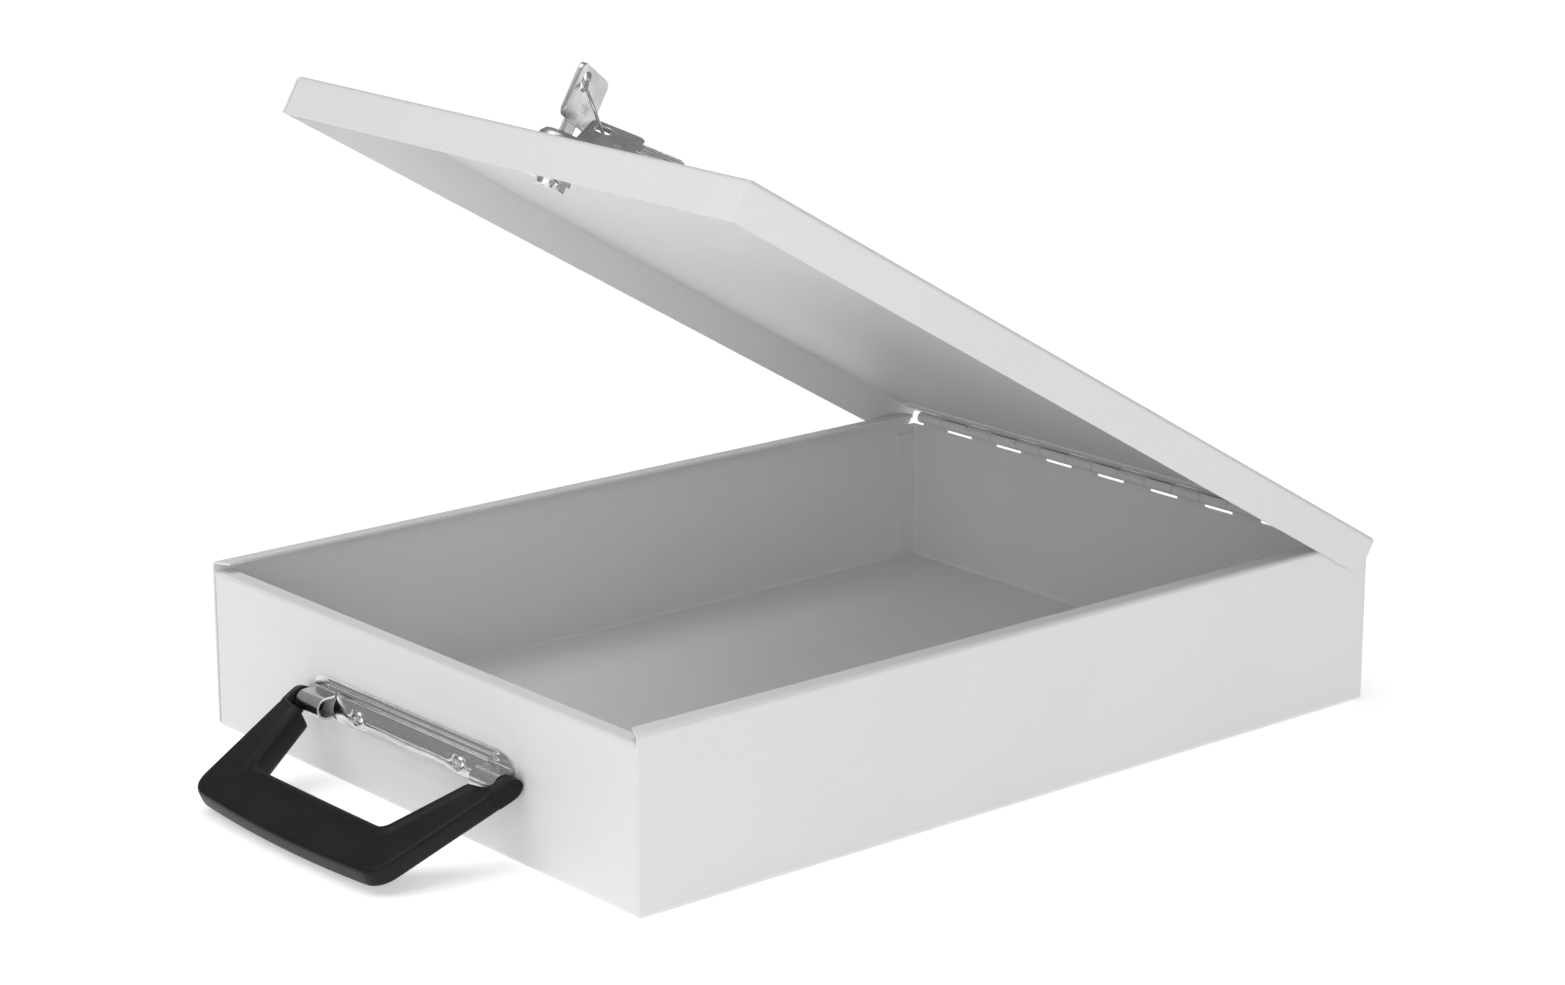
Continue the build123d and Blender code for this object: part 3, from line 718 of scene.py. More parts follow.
def lidFrontRim():
    l = lid
    hw, top, bend, e = l["halfWidth"], l["top"], l["bend"], l["cornerBend"]
    rows = arc((l["front"] + bend, top - bend), bend, 90, 180, l["bendSteps"])
    rows += [(l["front"], z) for z in spaced(top - bend - 1.0, l["bottom"], 4)]
    turns = [math.radians(a) for a in spaced(0, 90, 5)]
    points = []
    for y, z in rows:
        inset = lidInset(z)
        edge = hw - max(l["sheet"], inset)
        cornerEase = 0.0 if inset >= l["sheet"] else e * eased(l["sheet"] - inset, 0.0, l["sheet"])
        out = [(edge - e * (1 - math.sin(a)), cornerEase * (1 - math.cos(a))) for a in turns]
        middle = [(x, 0.0) for x in spaced(*l["rimLoops"])]
        for x, d in [(-x, d) for x, d in reversed(out)] + middle + out:
            points.append((x, y + d, z))
    columns = len(points) // len(rows)
    return points, [tuple(reversed(f)) for f in gridFaces(len(rows), columns)]


def makeLid():
    parts = [addPiece("cover", *lidCover(), lidFrame), addPiece("rim", *lidFrontRim(), lidFrame)]
    piece = cleanMesh(joinPieces("lidSheet", parts), 0.004)
    modify(piece, "SOLIDIFY", thickness=lid["sheet"] * mm, offset=-1.0, use_even_offset=True)
    settle(piece)
    r, deep = lid["boreRadius"], lid["boreReach"]
    bore = spun("bore", [(0, -deep), (r, -deep), (r, deep), (0, deep)], lockFrame)
    modify(piece, "BOOLEAN", operation="DIFFERENCE", solver="EXACT", object=bore)
    settle(piece)
    bpy.data.objects.remove(bore)
    soften(piece, edge=lid["edge"])
    return mount(piece, "coat", "lid_body", "lid")


makeLid()
print("lid made")


# Geometry Nodes: one blank repeated along a line

def openTree(name, inputs):  # a geometry node tree and its named inputs
    tree = bpy.data.node_groups.new(name, "GeometryNodeTree")
    g = Graph(tree)
    tree.interface.new_socket("Geometry", in_out="OUTPUT", socket_type="NodeSocketGeometry")
    for label, kind in inputs.items():
        tree.interface.new_socket(label, in_out="INPUT", socket_type="NodeSocket" + kind)
    asked = g.node("NodeGroupInput")
    return g, {label: g.also(asked, label) for label in inputs}


def closeTree(g, made, finish):  # ends the tree in real geometry with its finish
    real = g.node("GeometryNodeRealizeInstances", {}, {"Geometry": made})
    dressed = g.node("GeometryNodeSetMaterial", {}, {"Geometry": real, "Material": finish})
    g.node("NodeGroupOutput", {}, {0: dressed})
    return g.tree


def grown(name, tree, values):  # what a tree makes of these values, as plain mesh
    carrier = linked(name, bpy.data.meshes.new(name))
    rule = carrier.modifiers.new("rule", "NODES")
    rule.node_group = tree
    for item in tree.interface.items_tree:
        if item.in_out == "INPUT":
            rule[item.identifier] = values[item.name]
    return settle(carrier)


def repeatTree():
    g, asked = openTree("repeatAlongLine", {
        "Blank": "Object", "Count": "Int", "Step": "Vector", "Finish": "Material"})
    blank = g.also(g.node("GeometryNodeObjectInfo", {"transform_space": "ORIGINAL"}, {
        "Object": asked["Blank"]}), "Geometry")
    line = g.node("GeometryNodeMeshLine", {"mode": "OFFSET"}, {
        "Count": asked["Count"], "Offset": asked["Step"]})
    copies = g.node("GeometryNodeInstanceOnPoints", {}, {"Points": line, "Instance": blank})
    return closeTree(g, copies, asked["Finish"])


lineTree = repeatTree()


def repeated(name, blank, count, step, slot):  # step is in metres
    made = grown(name, lineTree, {
        "Blank": blank, "Count": count, "Step": step, "Finish": finishes[slot]})
    bpy.data.objects.remove(blank)
    return made


# Hinge: two notched leaves, curled knuckles and a pin

leafLow, leafHigh = nodeBox("hinge_tray_leaf", hingeFrame)
hinge = {
    "half": leafHigh.x,
    "pairs": 8,
    "radius": leafHigh.z,
    "sheet": 1.0,
    "play": 0.4,
    "leafBottom": leafLow.z,
    "notch": tray["backHeight"] - joints["lid_hinge"]["pos_m"][2] / mm,
    "leafWidth": 12.0,
    "leafFlat": 6.0,  # how much of the lid leaf is one plain strip
    "leafUnder": 2.62,
    "leafLead": [(-2.2, 0.0), (-1.0, -0.08)],
    "trayTurn": (0, 322),  # degrees the knuckles curl from and to
    "lidTurn": (84, -212),
    "curlSteps": 20,
    "edge": 0.1,
    "pinEase": 0.35,
}
hinge["pitch"] = 2 * hinge["half"] / hinge["pairs"]
hinge["knuckle"] = hinge["pitch"] / 2


def sheetStrip(name, path, x0, x1, place):  # a sheet of one cross-section between two x's
    points = [(x, y, z) for y, z in path for x in (x0, x1)]
    return addPiece(name, points, gridFaces(len(path), 2), place)


def makeTrayLeaf():
    h = hinge
    r = h["radius"]
    curl = [(r, h["notch"]), (r, h["notch"] / 2)] + arc((0, 0), r, *h["trayTurn"], h["curlSteps"])
    start = -h["half"] + h["play"] / 2
    blank = sheetStrip("knuckle", curl, start, start + h["knuckle"] - h["play"], hingeFrame)
    soften(blank, wall=-h["sheet"], edge=h["edge"])
    knuckles = repeated("knuckles", blank, h["pairs"], (h["pitch"] * mm, 0, 0), "coat")
    leaf = sheetStrip("leaf", [(r, h["leafBottom"]), (r, h["notch"])], -h["half"], h["half"], hingeFrame)
    soften(leaf, wall=-h["sheet"], edge=h["edge"])
    return mount(joinPieces("hingeTrayLeaf", [leaf, knuckles]), "coat", "tray_body", "hinge_tray_leaf")


def makeLidLeaf():
    h = hinge
    r, under = h["radius"], h["leafUnder"]
    inner = -h["leafWidth"] + h["leafFlat"]
    curl = [(inner, under)] + [(y, under + d) for y, d in h["leafLead"]]
    curl += arc((0, 0), r, *h["lidTurn"], h["curlSteps"])
    start = -h["half"] + h["knuckle"] + h["play"] / 2
    blank = sheetStrip("knuckle", curl, start, start + h["knuckle"] - h["play"], lidFrame)
    soften(blank, wall=h["sheet"], edge=h["edge"])
    knuckles = repeated("knuckles", blank, h["pairs"], (h["pitch"] * mm, 0, 0), "coat")
    path = [(-h["leafWidth"], under), (inner, under)]
    leaf = sheetStrip("leaf", path, -h["half"], h["half"], lidFrame)
    soften(leaf, wall=h["sheet"], edge=h["edge"])
    return mount(joinPieces("hingeLidLeaf", [leaf, knuckles]), "coat", "lid_body", "hinge_lid_leaf")


def makePin():
    low, high = nodeBox("hinge_pin", hingeFrame)
    r, half, e = high.z, high.x, hinge["pinEase"]
    along = frameAt(joints["lid_hinge"]["pos_m"], (0, 1, 0), (1, 0, 0))
    mid = e * 0.3
    profile = [(0, -half), (r - e, -half), (r - mid, -half + mid)]
    profile += [(r, x) for x in spaced(-half + e, half - e, 8)]
    profile += [(r - mid, half - mid), (r - e, half), (0, half)]
    piece = soften(spun("hingePin", profile, along, 32), edge=0.05)
    return mount(piece, "steel", "tray_body", "hinge_pin")


makeTrayLeaf()
makeLidLeaf()
makePin()
print("hinge made")


# Carry handle: a moulded loop with a raised lip round its opening

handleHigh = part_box("handle")[1]
pivot = Vector(joints["handle_pivot"]["pos_m"])


def handlePlace():
    points = frame["nodes"]["handle"].data.vertices
    middle = sum((v.co for v in points), Vector()) / len(points)
    reach = Vector((0, middle.y - pivot.y, middle.z - pivot.z)).normalized()
    return frameAt(pivot, (-1, 0, 0), Vector((-1, 0, 0)).cross(reach))


handleFrame = handlePlace()
handle = {
    "rootHalf": handleHigh.x / mm,
    "gripHalf": 56.5,
    "reach": 55.0,
    "bow": 2.5,
    "openRoot": (50.2, 7.8),
    "openGrip": (39.0, 36.5),
    "outerCorner": 9.0,
    "innerCorner": 4.5,
    "steps": 8,
    "lug": 60.6,
    "hoodClear": 6.4,
    "trunnion": (52.5, 3.3),
    "trunnionEase": 0.4,
    "thick": 4.7,
    "endTurns": (8, 20, 32, 44, 56, 68, 80),
    "armLean": ((0.0, 0.0), (2.5, 0.0), (4.6, 0.0), (5.9, 0.05), (6.5, 0.3), (7.0, 0.75), (7.4, 0.96)),
    "sectionWidth": 11.0,
    "lip": [(0.0, 0.0), (0.0, 2.3), (0.4, 3.8), (1.5, 4.62), (2.7, 4.7), (4.1, 4.4), (5.6, 3.92),
            (7.0, 3.8)],
    "rim": [(2.6, 3.8), (1.1, 3.72), (0.35, 3.25), (0.0, 2.2), (0.0, 0.0)],
}


def filleted(a, corner, b, radius, steps):  # the arc that rounds a corner between two lines
    a, corner, b = Vector(a), Vector(corner), Vector(b)
    u, v = (a - corner).normalized(), (b - corner).normalized()
    half = math.acos(max(-1, min(1, u.dot(v)))) / 2
    middle = corner + (u + v).normalized() * radius / math.sin(half)
    first = corner + u * radius / math.tan(half) - middle
    last = corner + v * radius / math.tan(half) - middle
    turn = first.angle(last)
    return [middle + (first * math.sin(turn * (1 - t)) + last * math.sin(turn * t)) / math.sin(turn)
            for t in spaced(0, 1, steps)]


def handleStations():  # inner and outer points from an arm's end to the middle
    h, steps = handle, handle["steps"]
    slope = (h["rootHalf"] - h["gripHalf"]) / h["reach"]
    top = (h["rootHalf"] - slope * h["hoodClear"], h["hoodClear"] + 1.0)
    corner = (h["gripHalf"], h["reach"])
    fall = 2 * h["bow"] / h["gripHalf"]
    outerArc = filleted(top, corner, (0.0, h["reach"] + fall * h["gripHalf"]), h["outerCorner"], steps)
    innerArc = filleted(h["openRoot"], h["openGrip"], (0.0, h["openGrip"][1]), h["innerCorner"], steps)
    outer, inner = [], []
    for y in [-h["thick"] * math.cos(math.radians(a)) for a in h["endTurns"]]:
        outer.append(Vector((h["rootHalf"], y)))
        inner.append(Vector((h["lug"], y)))
    for y, lean in h["armLean"]:
        outer.append(Vector((h["rootHalf"] - slope * y, y)))
        inner.append(Vector((h["lug"] + (h["openRoot"][0] - h["lug"]) * lean, y)))
    outer += [Vector(top).lerp(outerArc[0], t) for t in spaced(0, 1, steps)[:-1]] + outerArc
    inner += [Vector(h["openRoot"]).lerp(innerArc[0], t) for t in spaced(0, 1, steps)[:-1]] + innerArc
    x1, x2 = outerArc[-1].x, innerArc[-1].x
    lift = outerArc[-1].y - (h["reach"] + h["bow"] * (1 - (x1 / h["gripHalf"]) ** 2))
    for t in spaced(0, 1, steps)[1:]:
        x = x1 * (1 - t)
        y = h["reach"] + h["bow"] * (1 - (x / h["gripHalf"]) ** 2)
        outer.append(Vector((x, y + lift * (1 - t))))
        inner.append(Vector((x2 * (1 - t), h["openGrip"][1])))
    return list(zip(inner, outer))


def makeHandle():
    h = handle
    half = handleStations()
    stations = half + [(Vector((-a.x, a.y)), Vector((-b.x, b.y))) for a, b in reversed(half[:-1])]
    points = []
    for inner, outer in stations:
        way = (outer - inner).normalized()
        wide = (outer - inner).length
        squeeze = min(1.0, wide / h["sectionWidth"])
        thin = math.sqrt(max(0.0, 1 - (min(0.0, (inner.y + outer.y) / 2) / h["thick"]) ** 2))
        upper = [(d * squeeze, z * thin) for d, z in h["lip"]]
        upper += [(wide - d * squeeze, z * thin) for d, z in h["rim"]]
        ring = upper + [(d, -z) for d, z in reversed(upper[1:-1])]
        points += [(inner.x + way.x * d, inner.y + way.y * d, z) for d, z in ring]
    count = len(points) // len(stations)
    faces = tubeFaces(len(stations), count)
    faces += [tuple(range(count)), tuple(range(len(points) - count, len(points)))]
    loop = cleanMesh(addPiece("loop", points, faces, handleFrame), outward=True)
    soften(loop, levels=1)
    parts = [loop]
    for side in (-1, 1):
        start, radius = h["trunnion"]
        ease, end = h["trunnionEase"], h["lug"] + 1.0
        axis = frameAt(pivot, (0, 1, 0), (side, 0, 0))
        profile = [(0, start), (radius - ease, start), (radius, start + ease), (radius, end), (0, end)]
        parts.append(soften(spun("trunnion", profile, axis, 40), edge=0.1))
    return mount(joinPieces("carryHandle", parts), "black_plastic", "handle_body", "handle")


makeHandle()
print("handle made")


# Handle bracket: a stamped strip with two beads, a crowned channel and a hood at each end

bracketLow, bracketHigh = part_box("handle_bracket")
rivetLow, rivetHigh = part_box("handle_rivets")
bracket = {
    "half": bracketHigh.x / mm,
    "top": bracketHigh.z / mm,
    "foot": bracketLow.z / mm,
    "wall": -bracketHigh.y / mm,
    "sheet": 0.8,
    "bandFoot": 34.2,
    "beads": (37.3, 35.0),
    "beadHalf": 0.95,
    "beadRise": 0.75,
    "hoodStart": 46.2,
    "hoodRadius": 4.17,
    "hoodFlat": (2.0, 2.4),
    "hoodTop": [(0.0, 0.0), (0.15, -0.55), (0.7, -0.9)],
    "hoodFoot": [(0.9, 1.1), (0.2, 0.6), (0.0, 0.0)],
    "hoodSteps": (18, 10),
    "shoulder": 9.0,
    "channelMiddle": 28.2,
    "channelHalf": 5.3,
    "channelRise": 2.9,
    "channelFall": 0.3,
    "crown": 1.4,  # above 1 the channel's crown is narrower
    "seat": 30.7,
    "seatHalf": 4.4,
    "seatRise": 1.4,
    "seatFlat": 0.42,
    "beadFade": (11.0, 7.5),
    "shoulderDrop": 0.9,
    "columns": 240,
    "rows": (22, 30),  # of the flat band and of the channel below it
    "footDip": (0.45, 15.0, 7.0),  # how far the foot rises, where and over what width
    "edge": 0.14,
}


def bead(z):
    b = bracket
    return sum(b["beadRise"] * math.cos(math.pi / 2 * min(1.0, abs(z - c) / b["beadHalf"])) ** 2
               for c in b["beads"])


def channel(x, z):
    b = bracket
    reach = min(1.0, abs(z - b["channelMiddle"]) / b["channelHalf"])
    crown = math.cos(math.pi / 2 * reach) ** b["crown"] if reach < 1 else 0.0
    flat = eased(1 - reach, 0.0, b["seatFlat"])
    atSeat = math.exp(-((abs(x) - b["seat"]) / b["seatHalf"]) ** 4)
    rise = b["channelRise"] * (1 - b["channelFall"] * eased(abs(x), b["seat"], b["hoodStart"]))
    return rise * crown * (1 - atSeat) + b["seatRise"] * flat * atSeat


def bracketPoint(x, out, z):
    return (x, -bracket["wall"] - out, z)


def makeBracket():
    b = bracket
    xs = spaced(-b["half"], b["half"], b["columns"])
    zs = spaced(b["top"], b["bandFoot"], b["rows"][0])
    points = []
    for z in zs:
        for x in xs:
            fade = 1 - eased(abs(x), *(b["half"] - d for d in b["beadFade"]))
            corner = min(1.0, max(0.0, abs(x) - b["half"] + b["shoulder"]) / b["shoulder"])
            drop = b["shoulderDrop"] * (1 - math.sqrt(1 - corner * corner))
            points.append(bracketPoint(x, b["sheet"] + bead(z) * fade, z - drop * (z - b["bandFoot"])))
    band = addPiece("band", points, gridFaces(len(zs), len(xs)), trayFrame)
    xs = [x for x in xs if abs(x) < b["hoodStart"] - 0.5]
    zs = spaced(b["bandFoot"], b["foot"], b["rows"][1])
    dip, where, width = b["footDip"]
    points = []
    for z in zs:
        for x in xs:
            low = dip * math.exp(-((abs(x) - where) / width) ** 2) * (b["bandFoot"] - z) / 11
            points.append(bracketPoint(x, b["sheet"] + channel(x, z), z + low))
    middle = addPiece("middle", points, gridFaces(len(zs), len(xs)), trayFrame)
    parts = [band, middle]
    out, height = -pivot.y / mm - b["wall"], pivot.z / mm
    r = b["hoodRadius"]
    path = [(b["sheet"] + y, b["bandFoot"] + z) for y, z in b["hoodTop"]]
    path += [(out - b["hoodFlat"][0], height + r)] + arc((out, height), r, 90, -90, b["hoodSteps"][0])
    path += [(out - b["hoodFlat"][1], height - r)]
    path += [(b["sheet"] + y, b["foot"] + z) for y, z in b["hoodFoot"]]
    for side in (-1, 1):
        xs = sorted(side * x for x in spaced(b["hoodStart"], b["half"], b["hoodSteps"][1]))
        points = [bracketPoint(x, out, z) for out, z in path for x in xs]
        parts.append(addPiece("hood", points, gridFaces(len(path), len(xs)), trayFrame))
    piece = joinPieces("handleBracket", parts)
    cleanMesh(piece, 0.01)
    for face in piece.data.polygons:
        face.flip()
    soften(piece, wall=b["sheet"], edge=b["edge"])
    return mount(piece, "zinc", "tray_body", "handle_bracket")


makeBracket()


# Handle rivets: domed heads on the channel's seats

rivets = {
    "spacing": 61.4,
    "head": [(0.0, 0.5), (0.45, 0.45), (0.85, 0.75), (1.25, 1.15), (1.8, 1.25), (2.5, 1.12), (3.1, 0.75),
             (3.42, 0.3), (3.48, 0.0), (3.48, -0.15), (1.6, -0.15)],
    "tail": [(1.6, 1.79), (3.0, 1.79), (3.08, 1.95), (3.05, 2.3), (2.8, 2.44), (0.0, 2.44)],
    "edge": 0.06,
}


def makeRivets():
    height = (rivetLow.z + rivetHigh.z) / 2
    face = bracketHigh.y - (bracket["sheet"] + bracket["seatRise"]) * mm
    out = frameAt((-rivets["spacing"] / 2 * mm, face, height), (1, 0, 0), (0, -1, 0))
    profile = rivets["head"] + [(r, -z - bracket["seatRise"]) for r, z in rivets["tail"]]
    blank = soften(spun("rivet", profile, out, 32), edge=rivets["edge"])
    piece = repeated("handleRivets", blank, 2, (rivets["spacing"] * mm, 0, 0), "zinc")
    return mount(piece, "zinc", "tray_body", "handle_rivets")


makeRivets()
print("bracket and rivets made")


# Cam lock: a tapered face, hexagon nut, slotted plug, cam with a bent tail, washer and screw

lock = {
    "face": [(6.3, 4.55), (6.3, 5.75), (6.45, 5.95), (6.7, 6.0), (7.05, 5.95), (8.35, 4.5), (8.6, 4.1),
             (9.05, 0.8), (9.2, 0.45), (9.2, 0.0), (7.7, 0.0)],
    "bore": 5.45,
    "thread": 7.7,
    "threadDepth": 0.28,
    "threadPitch": 0.8,
    "shank": -1.0,
    "threadStart": -1.1,
    "endEase": 0.5,
    "barrelEnd": nodeBox("lock_housing", lockFrame)[0].z,
    "recess": 4.55,
}


def makeLockFace():
    k = lock
    start, pitch = k["threadStart"], k["threadPitch"]
    profile = k["face"] + [(k["thread"], k["shank"])]
    for i in range(int((start - k["barrelEnd"]) / pitch * 2)):
        profile.append((k["thread"] - (i % 2) * k["threadDepth"], start - i * pitch / 2))
    profile += [(k["thread"] - k["endEase"], k["barrelEnd"])]
    profile += [(k["bore"], z) for z in (k["barrelEnd"], k["recess"])]
    piece = soften(spun("lockFace", profile, lockFrame, 64, closed=True), edge=0.08, angle=50)
    return mount(piece, "nickel", "lid_body", "lock_housing")


def easedCopy(name, node, edge):  # a CAD part with its sharp edges eased
    mesh = bpy.data.meshes.new(name)
    shape = bmesh.new()
    shape.from_mesh(frame["nodes"][node].data)
    bmesh.ops.remove_doubles(shape, verts=shape.verts, dist=0.004 * mm)
    bmesh.ops.dissolve_limit(shape, angle_limit=math.radians(1.0), verts=shape.verts, edges=shape.edges)
    shape.to_mesh(mesh)
    shape.free()
    return soften(linked(name, mesh), edge=edge)


lockParts = {  # piece: CAD node, finish, body, eased edge
    "lockNut": ("lock_nut", "zinc", "lid_body", 0.3),
    "lockPlug": ("lock_plug", "nickel", "plug_body", 0.1),
    "lockCam": ("lock_cam", "zinc", "plug_body", 0.3),
    "camWasher": ("cam_washer", "zinc", "plug_body", 0.1),
    "camScrew": ("cam_screw", "zinc", "plug_body", 0.15),
}

makeLockFace()
for pieceName, (nodeName, slotName, bodyName, edgeSize) in lockParts.items():
    mount(easedCopy(pieceName, nodeName, edgeSize), slotName, bodyName, nodeName)
print("lock made")


# Lock internals: wafers and their coiled springs, each repeated down the plug

waferHigh = nodeBox("wafers", plugFrame)[1]
springLow, springHigh = nodeBox("wafer_springs", plugFrame)
wafer = {
    "count": 5,
    "pitch": 2.0,
    "thick": 0.6,
    "outer": (4.7, 2.2),
    "window": (4.35, 1.15),
    "edge": 0.06,
    "springWire": 0.1,
    "springTurns": 5.0,
}


def coilTree():
    g, asked = openTree("coilSpring", dict.fromkeys(("Turns", "Radius", "Length", "Wire"), "Float"))
    coil = g.node("GeometryNodeCurveSpiral", {}, {
        "Resolution": 12, "Rotations": asked["Turns"], "Start Radius": asked["Radius"],
        "End Radius": asked["Radius"], "Height": asked["Length"]})
    wire = g.node("GeometryNodeCurvePrimitiveCircle", {}, {"Resolution": 6, "Radius": asked["Wire"]})
    tube = g.node("GeometryNodeCurveToMesh", {}, {
        "Curve": coil, "Profile Curve": wire, "Fill Caps": True})
    return closeTree(g, tube, finishes["steel"])


def coilBlank(place, radius, length):
    made = grown("coil", coilTree(), {
        "Turns": wafer["springTurns"], "Radius": radius, "Length": length, "Wire": wafer["springWire"]})
    made.data.transform(place)
    return made


def makeWafers():
    w = wafer
    down = plugFrame.to_3x3() @ Vector((0, 0, -w["pitch"]))
    top = waferHigh.z
    loops = [[(-x, -y), (x, -y), (x, y), (-x, y)] for x, y in (w["outer"], w["window"])]
    points = [(x, y, z) for z in (top, top - w["thick"]) for loop in loops for x, y in loop]
    faces = tubeFaces(2, 4) + gridFaces(2, 4, 8, loop=True)
    for k in (0, 4):
        faces += [(k + i, k + (i + 1) % 4, k + 8 + (i + 1) % 4, k + 8 + i) for i in range(4)]
    blank = soften(cleanMesh(addPiece("wafer", points, faces, plugFrame), outward=True), edge=w["edge"])
    piece = repeated("waferStack", blank, w["count"], down, "brass")
    mount(piece, "brass", "plug_body", "wafers")
    radius = (springHigh.y - springLow.y) / 2 - w["springWire"]
    height = springHigh.z - radius - w["springWire"]
    middle = Vector((springLow.x, (springLow.y + springHigh.y) / 2, height))
    place = plugFrame @ Matrix.Translation(middle) @ Matrix.Rotation(math.pi / 2, 4, "Y")
    coil = coilBlank(place, radius, springHigh.x - springLow.x)
    coils = repeated("waferSprings", coil, w["count"], down, "steel")
    mount(coils, "steel", "plug_body", "wafer_springs")


makeWafers()
print("wafers and springs made")


# Keys: a stamped bow with an eased rim and a corner hole, and a grooved blade cut along both edges

key = {
    "bow": (26.5, 20.0),
    "bowCorner": 3.0,
    "shift": 3.2,
    "shoulder": 11.0,
    "hole": (7.0, 5.6, 3.5),
    "thick": 2.0,
    "rim": 0.42,
    "blade": 8.4,
    "tip": -5.5,
    "grooves": (-2.4, 0.0, 2.4),
    "grooveWidth": 1.0,
    "grooveDepth": 0.45,
    "notches": (0.65, 0.35, 0.75, 0.5),
    "notchPitch": 2.4,
    "firstNotch": 3.3,
    "levels": 96,
    "chamfer": 0.3,
    "grooveSlope": 0.15,
    "grooveFade": (0.4, 0.8),  # below the shoulder, where a groove ends and over what length
    "intoBow": 0.35,
    "number": "101",
    "numberSize": 4.6,
    "numberRise": 0.08,
    "numberShift": (1.5, -4.0),
    "spareHeading": -75.0,
}
key["holeX"] = key["shift"] - key["bow"][0] / 2 + key["hole"][0]
key["holeZ"] = key["shoulder"] + key["bow"][1] - key["hole"][1]


def plate(name, outlines, thick, ease):  # a flat plate from closed outlines, holes among them
    curve = bpy.data.curves.new(name, "CURVE")
    curve.dimensions = "2D"
    curve.fill_mode = "BOTH"
    curve.extrude = thick / 2 - ease
    curve.bevel_depth = ease
    curve.bevel_resolution = 3
    curve.offset = -ease
    for outline in outlines:
        line = curve.splines.new("POLY")
        line.points.add(len(outline) - 1)
        line.use_cyclic_u = True
        for point, (x, y) in zip(line.points, outline):
            point.co = (x, y, 0, 1)
    return flatMesh(name, curve)


def flatMesh(name, data):  # a flat curve or text as a mesh, still in its own frame
    source = linked(name, data)
    mesh = bpy.data.meshes.new_from_object(source.evaluated_get(bpy.context.evaluated_depsgraph_get()))
    bpy.data.objects.remove(source)
    return linked(name, mesh)


def rounded(halfX, halfY, radius, middle=(0, 0), steps=8):
    points = []
    for x, y, start in ((1, 1, 0), (-1, 1, 90), (-1, -1, 180), (1, -1, 270)):
        centre = (middle[0] + x * (halfX - radius), middle[1] + y * (halfY - radius))
        points += arc(centre, radius, start, start + 90, steps)
    return points


def keyBlade():
    k = key
    half, thick, ease = k["blade"] / 2, k["thick"] / 2, k["chamfer"]
    across = [-half, -half + ease]
    for c in k["grooves"]:
        w = k["grooveWidth"] / 2
        across += [c - w, c - w + k["grooveSlope"], c + w - k["grooveSlope"], c + w]
    across += [half - ease, half]

    def face(x):
        inGroove = any(abs(x - c) < k["grooveWidth"] / 2 - 0.1 for c in k["grooves"])
        return thick - (k["grooveDepth"] if inGroove else 0.0) - (ease if abs(x) > half - 0.1 else 0.0)

    ring = [(x, face(x)) for x in across] + [(x, -face(x)) for x in reversed(across)]
    end, fade = k["grooveFade"]
    levels = []
    for z in spaced(k["tip"], k["shoulder"] + k["intoBow"], k["levels"]):
        wide = 1.0
        for side, depth in enumerate(k["notches"]):
            middle = k["tip"] + k["firstNotch"] + side * k["notchPitch"]
            wide -= max(0.0, depth - abs(z - middle)) / half
        taper = min(1.0, 0.5 + (z - k["tip"]) / (k["blade"] / 4) * 0.5)
        grooved = min(1.0, max(0.0, (k["shoulder"] - end - z) / fade))
        levels.append((z, wide * taper, grooved))
    points = []
    for z, wide, grooved in levels:
        for x, y in ring:
            full = math.copysign(thick - (ease if abs(x) > half - 0.1 else 0.0), y)
            points.append((x * wide, full + (y - full) * grooved, z))
    n = len(ring)
    faces = tubeFaces(len(levels), n)
    faces += [tuple(range(n)), tuple(range(len(points) - n, len(points)))]
    return points, faces


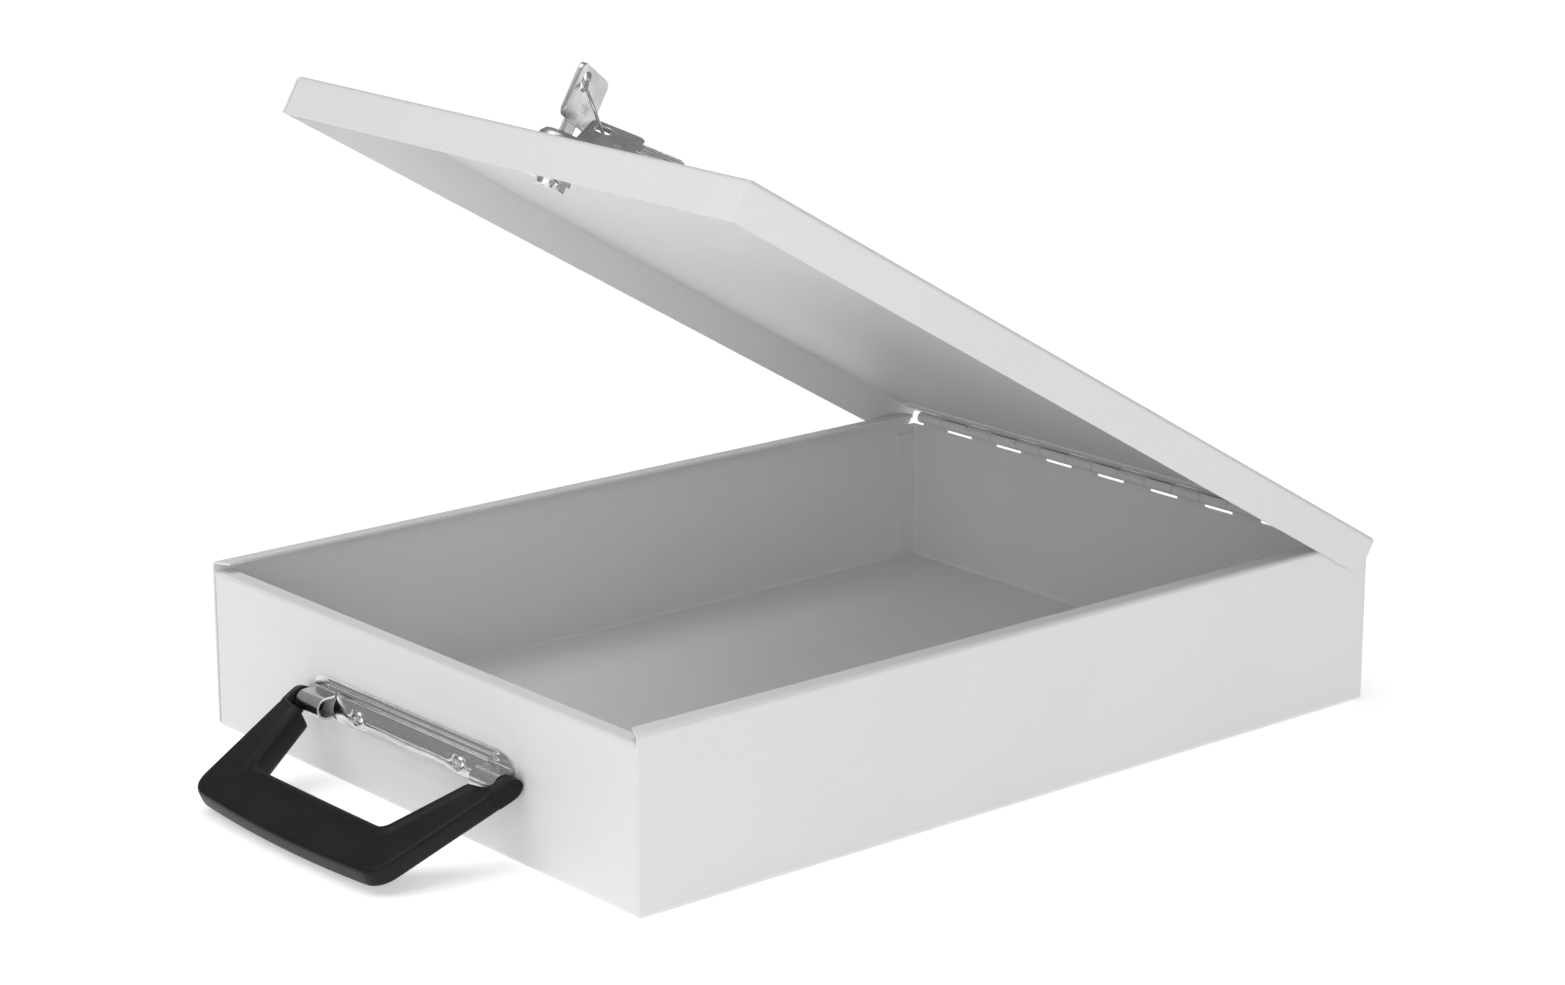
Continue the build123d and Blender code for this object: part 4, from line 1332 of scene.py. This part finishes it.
def makeKey(name, place, node, body):
    k = key
    toKey = Matrix(((1, 0, 0, 0), (0, 0, -1, 0), (0, 1, 0, 0), (0, 0, 0, 1)))  # flat to upright
    middle = (k["shift"], k["shoulder"] + k["bow"][1] / 2)
    outline = rounded(k["bow"][0] / 2, k["bow"][1] / 2, k["bowCorner"], middle)
    hole = [(k["holeX"] + k["hole"][2] * math.cos(a), k["holeZ"] + k["hole"][2] * math.sin(a))
            for a in (-math.tau * i / 40 for i in range(40))]
    bow = plate("bow", [outline, hole], k["thick"], k["rim"])
    bow.data.transform(place @ toKey)
    blade = cleanMesh(addPiece("blade", *keyBlade(), place), outward=True)
    parts = [soften(bow, angle=30), soften(blade, edge=0.05)]
    for side in (1, -1):
        text = bpy.data.curves.new("number", "FONT")
        text.body = k["number"]
        text.size = k["numberSize"]
        text.align_x, text.align_y = "CENTER", "CENTER"
        text.extrude = k["numberRise"]
        stamp = flatMesh("number", text)
        turn = Matrix.Rotation(0 if side > 0 else math.pi, 4, "Y")
        x, y = (m + d for m, d in zip(middle, k["numberShift"]))
        lift = Matrix.Translation((x, y, side * k["thick"] / 2))
        stamp.data.transform(place @ toKey @ lift @ turn)
        parts.append(stamp)
    return mount(joinPieces(name, parts), "nickel", body, node)


def spareFrame():
    heading = math.radians(key["spareHeading"])
    up = plugFrame.to_3x3() @ Vector((-math.cos(heading), -math.sin(heading), 0))
    flat = Vector(joints["spare_key_swing"]["axis"])
    hole = Vector(joints["spare_key_swing"]["pos_m"])
    turned = frameAt((0, 0, 0), flat.cross(up), up)
    return Matrix.Translation(hole - turned @ Vector((key["holeX"], 0, key["holeZ"]))) @ turned


makeKey("keyInLock", plugFrame, "key", "key_body")
makeKey("spareKey", spareFrame(), "spare_key", "spare_key_body")
print("keys made")


# Key ring: one round of springy wire

ring = {
    "radius": 12.0,
    "wire": 0.56,
    "around": 120,
    "section": 14,
}


def makeRing():
    points = np.array([v.co for v in frame["nodes"]["key_ring"].data.vertices])
    low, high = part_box("key_ring")
    middle = Vector((low + high) / 2)
    axis = Vector(np.linalg.svd(points - points.mean(0), full_matrices=False)[2][2])
    place = frameAt(middle, (1, 0, 0), axis)
    section = arc((ring["radius"], 0), ring["wire"], 0, 360, ring["section"])[:-1]
    piece = soften(spun("keyRing", section, place, ring["around"], closed=True))
    return mount(piece, "steel", "ring_body", "key_ring")


makeRing()
print("key ring made")

bpy.context.view_layer.update()
